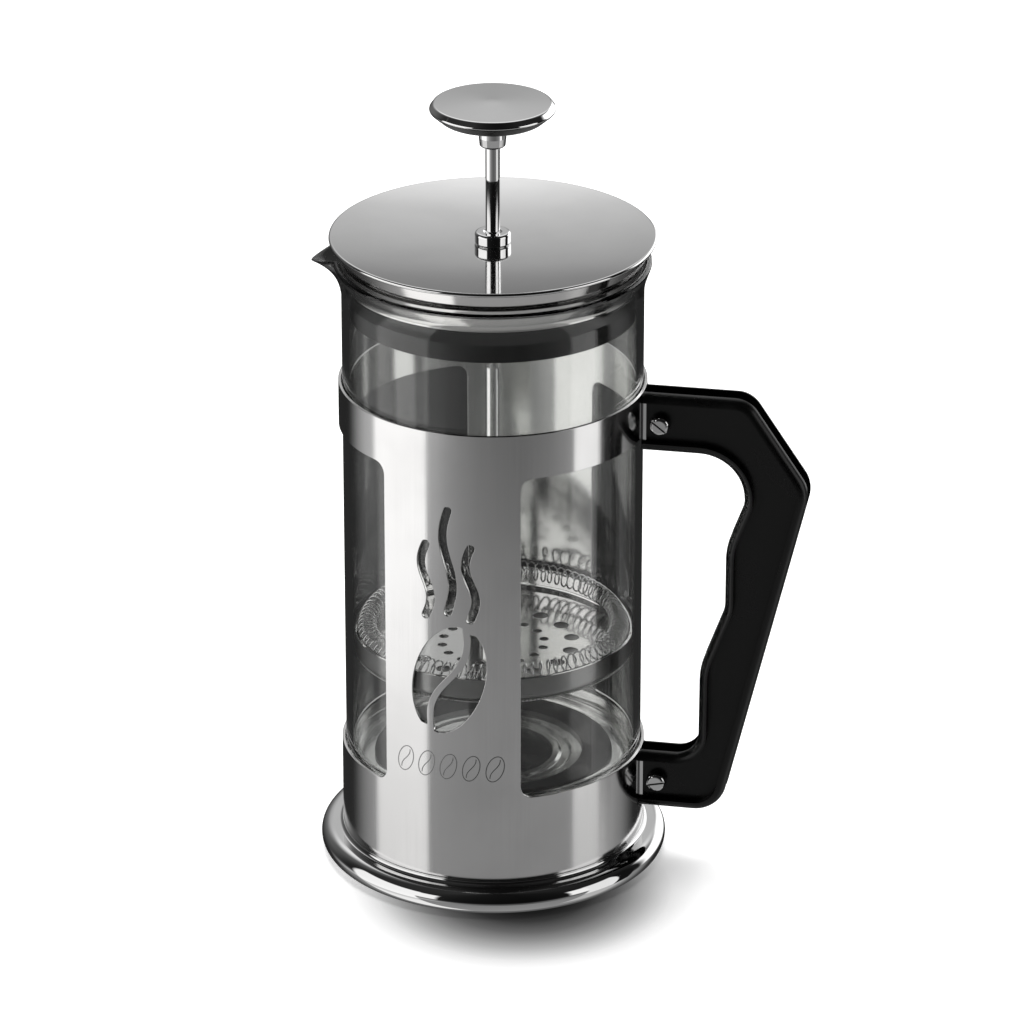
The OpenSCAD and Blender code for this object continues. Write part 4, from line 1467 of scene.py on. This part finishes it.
# Grey levels of the room by lift in degrees: behind the pot, before it and beside it.
BEHIND = [
    (-90, 0.20), (-48, 0.10), (-32, 0.03), (-22, 0.02), (-12, 0.06), (4, 0.18), (12, 0.27), (16, 0.38),
    (20, 0.47), (24.5, 0.55), (28, 0.63), (31, 0.80), (34, 1.0), (60, 0.95), (76, 0.05), (90, 0.02),
]
BEFORE = [(-90, 0.34), (-55, 0.31), (-36, 0.29), (-16, 0.27), (-9, 0.03), (0, 0.010), (90, 0.02)]
BESIDE = [
    (-90, 0.20), (-48, 0.10), (-32, 0.03), (-22, 0.02), (-12, 0.05), (10, 0.13), (60, 0.13), (90, 0.02),
]
# Share of the room's light before the pot, by turn in degrees.
FALL = [
    (-60, 0.95), (-44, 0.92), (-34, 0.62), (-24, 0.44), (-12, 0.31),
    (4, 0.23), (22, 0.20), (42, 0.31), (56, 0.48), (66, 0.56),
]


@dataclass
class Studio:
    """The camera, the pale floor and the soft light round the pot."""

    turn: float = 11.0
    lift: float = 24.2
    distance: float = 2.0
    lens: float = 210.9
    level: float = 0.1031
    aim_right: float = 0.0063
    aim_up: float = 0.0171

    @property
    def right(self) -> tuple:
        """The level direction to the camera's right."""
        return (math.cos(math.radians(self.turn)), math.sin(math.radians(self.turn)), 0)

    @property
    def near(self) -> tuple:
        """The level direction from the pot towards the camera."""
        return (math.sin(math.radians(self.turn)), -math.cos(math.radians(self.turn)), 0)

    def camera(self) -> None:
        """Stands the camera on its ray and aims it a little beside and above the pot's middle."""
        lift = math.radians(self.lift)
        toward = Vector((self.near[0] * math.cos(lift), self.near[1] * math.cos(lift), math.sin(lift)))
        middle = Vector((0, 0, self.level))
        right = Vector(self.right)
        up = right.cross(-toward)
        place = middle + self.distance * toward
        aim = middle + self.aim_right * right + self.aim_up * up
        data = bpy.data.cameras.new("camera")
        data.lens, data.sensor_width = self.lens, 36.0
        data.clip_start, data.clip_end = 0.05, 60.0
        eye = bpy.data.objects.new("camera", data)
        eye.rotation_mode = "QUATERNION"
        eye.location = place
        eye.rotation_quaternion = (aim - place).to_track_quat("-Z", "Y")
        bpy.context.scene.collection.objects.link(eye)
        bpy.context.scene.camera = eye

    def floor(self) -> None:
        """Lays the pale floor, which only the camera and soft light see, with a contact shadow painted
        into it in front of the base.
        """
        mesh = bpy.data.meshes.new("floor")
        n = 25
        side = np.linspace(-6, 6, n)
        grid = np.stack(np.meshgrid(side, side), -1).reshape(-1, 2)
        i, j = np.meshgrid(np.arange(n - 1), np.arange(n - 1), indexing="ij")
        first = i * n + j
        quads = np.stack([first, first + 1, first + n + 1, first + n], -1).reshape(-1, 4)
        below = np.full(len(grid), -0.0002)
        mesh.from_pydata(np.column_stack([grid, below]).tolist(), [], quads.tolist())
        made, g, both = started("pale_floor", "ShaderNodeAddShader")
        parts = []
        for vector, middle, half in ((self.right, 0.010, 0.036), (self.near, 0.035, 0.038)):
            from_middle = g.math("SUBTRACT", g.dot(g.coordinates(), vector), middle)
            parts.append(g.math("POWER", g.math("DIVIDE", from_middle, half), 2.0))
        reach = g.math("SQRT", g.math("ADD", *parts))
        # Painted contact shadow: an ellipse a little right of the base's front, near black in its
        # middle and white beyond, darkening both the floor's colour and its glow.
        shade = g.ramp(reach, PAINTED_SHADOW, 0.0, 2.0)
        shader = g.add("ShaderNodeBsdfDiffuse")
        g.feed(shader.inputs["Color"], g.blend(shade, grey(0.001), grey(0.85)))
        glow = g.add("ShaderNodeEmission")
        g.feed(glow.inputs["Color"], g.blend(shade, grey(0.001), grey(0.55)))
        g.feed(both.inputs[0], shader.outputs[0])
        g.feed(both.inputs[1], glow.outputs[0])
        mesh.materials.append(made)
        floor = bpy.data.objects.new("floor", mesh)
        bpy.context.scene.collection.objects.link(floor)
        floor.visible_glossy = False
        floor.visible_transmission = False

    def sun(self) -> None:
        """Hangs the broad overhead light that whitens the floor; mirrors don't show it."""
        data = bpy.data.lights.new("overhead", "SUN")
        data.energy = 2.9
        data.angle = math.radians(38)
        lamp = bpy.data.objects.new("overhead", data)
        away = -Vector(self.near)
        lamp.rotation_mode = "QUATERNION"
        lamp.rotation_quaternion = (-(Vector((0, 0, 1)) + 0.18 * away)).to_track_quat("-Z", "Y")
        lamp.visible_glossy = False
        lamp.visible_transmission = False
        bpy.context.scene.collection.objects.link(lamp)

    def surround(self) -> None:
        """Paints the studio round the pot: a dark room, tall soft boxes and a pale far ceiling.

        The turn of a direction is measured from the camera's side, positive to its right, and its
        lift from the horizon, both in degrees. Each box is a window of turn and lift with soft sides.
        The camera itself sees plain white.
        """
        world = bpy.data.worlds.new("studio")
        bpy.context.scene.world = world
        world.use_nodes = True
        g = Graph(world.node_tree)
        direction = g.add("ShaderNodeTexCoord").outputs["Generated"]

        near, right, up = (g.dot(direction, way) for way in (self.near, self.right, (0, 0, 1)))
        swing = g.math("DEGREES", g.math("ARCTAN2", right, near))
        wide = g.math("ABSOLUTE", swing)
        lift = g.math("DEGREES", g.math("ARCSINE", up))
        behind = g.ramp(lift, BEHIND, -90, 90)
        before = g.ramp(lift, BEFORE, -90, 90)
        fall = g.ramp(swing, FALL, -60, 66)
        near_level = g.ease(lift, -24.7, -23.4)
        before = g.blend(near_level, before, g.math("MULTIPLY", before, g.math("MULTIPLY", fall, 2.0)))
        beside = g.ramp(lift, BESIDE, -90, 90)
        room = g.blend(g.ease(wide, 104, 138), before, g.blend(g.ease(wide, 134, 164), beside, behind))

        def window(turns: tuple, lifts: tuple, soft: tuple, rise: float = 4) -> Socket:
            """Returns 1 inside a window of turn and lift, falling to 0 over its soft sides."""
            first = g.ease(swing, turns[0] - soft[0], turns[0] + soft[0])
            last = g.ease(swing, turns[1] - soft[1], turns[1] + soft[1], 1, 0)
            foot = g.ease(lift, lifts[0] - rise, lifts[0] + rise)
            head = g.ease(lift, lifts[1] - 3, lifts[1] + 3, 1, 0)
            return g.math("MULTIPLY", g.math("MULTIPLY", first, last), g.math("MULTIPLY", foot, head))

        low = g.blend(g.ease(lift, -42, -32), grey(1.1, 0.006), grey(0.76, 0.006))
        glow = g.blend(g.ease(lift, -26.6, -24.7), low, grey(1.25, 0.006))
        dusk = g.blend(g.ease(lift, -27.2, -24.2), grey(0.60, 0.004), grey(1.06, 0.004))
        left = g.blend(window((-100, -51), (-80, 30), (3, 1.0)), room, glow)
        left_wing = window((-100, -37), (-6, 28), (3, 2))
        wings = g.math("MAXIMUM", left_wing, window((50, 87), (-6, 28), (2, 1)))
        left = g.blend(wings, left, grey(1.2, 0.006))
        low_right = g.blend(window((63, 100), (-58, -26), (1.5, 9)), left, dusk)
        right_box = g.blend(window((63, 87), (-26, 30), (1.5, 1), 1), low_right, dusk)
        striped = g.blend(window((87, 101), (-25.8, 30), (1, 1), 0.8), right_box, grey(0.008))
        both = g.blend(window((112, 164), (-12, 26), (6, 5)), striped, grey(1.6))
        seen = g.add("ShaderNodeLightPath").outputs["Is Camera Ray"]
        colour = g.blend(seen, both, grey(1.0))
        shader = g.add("ShaderNodeBackground")
        g.feed(shader.inputs["Color"], colour)
        g.feed(g.add("ShaderNodeOutputWorld").inputs["Surface"], shader.outputs[0])

    def make(self) -> None:
        """Builds the whole stage and fixes how light becomes colour."""
        self.camera()
        self.floor()
        self.sun()
        self.surround()
        scene = bpy.context.scene
        scene.view_settings.view_transform = "Standard"
        scene.view_settings.look = "None"
        scene.cycles.max_bounces = 20
        scene.cycles.glossy_bounces = 10
        scene.cycles.transmission_bounces = 16
        scene.cycles.sample_clamp_indirect = 6.0


def main() -> None:
    """Builds the stage and every sub-assembly in order."""
    logging.basicConfig(level=logging.INFO, format="%(name)s: %(message)s")
    Studio().make()
    finishes = Finishes()
    for part in (Base(), Cage(), Handle(), Beaker(), Lid(), Plunger()):
        part.make(finishes)
        LOG.info("%s done", type(part).__name__)


if __name__ == "__main__":
    main()
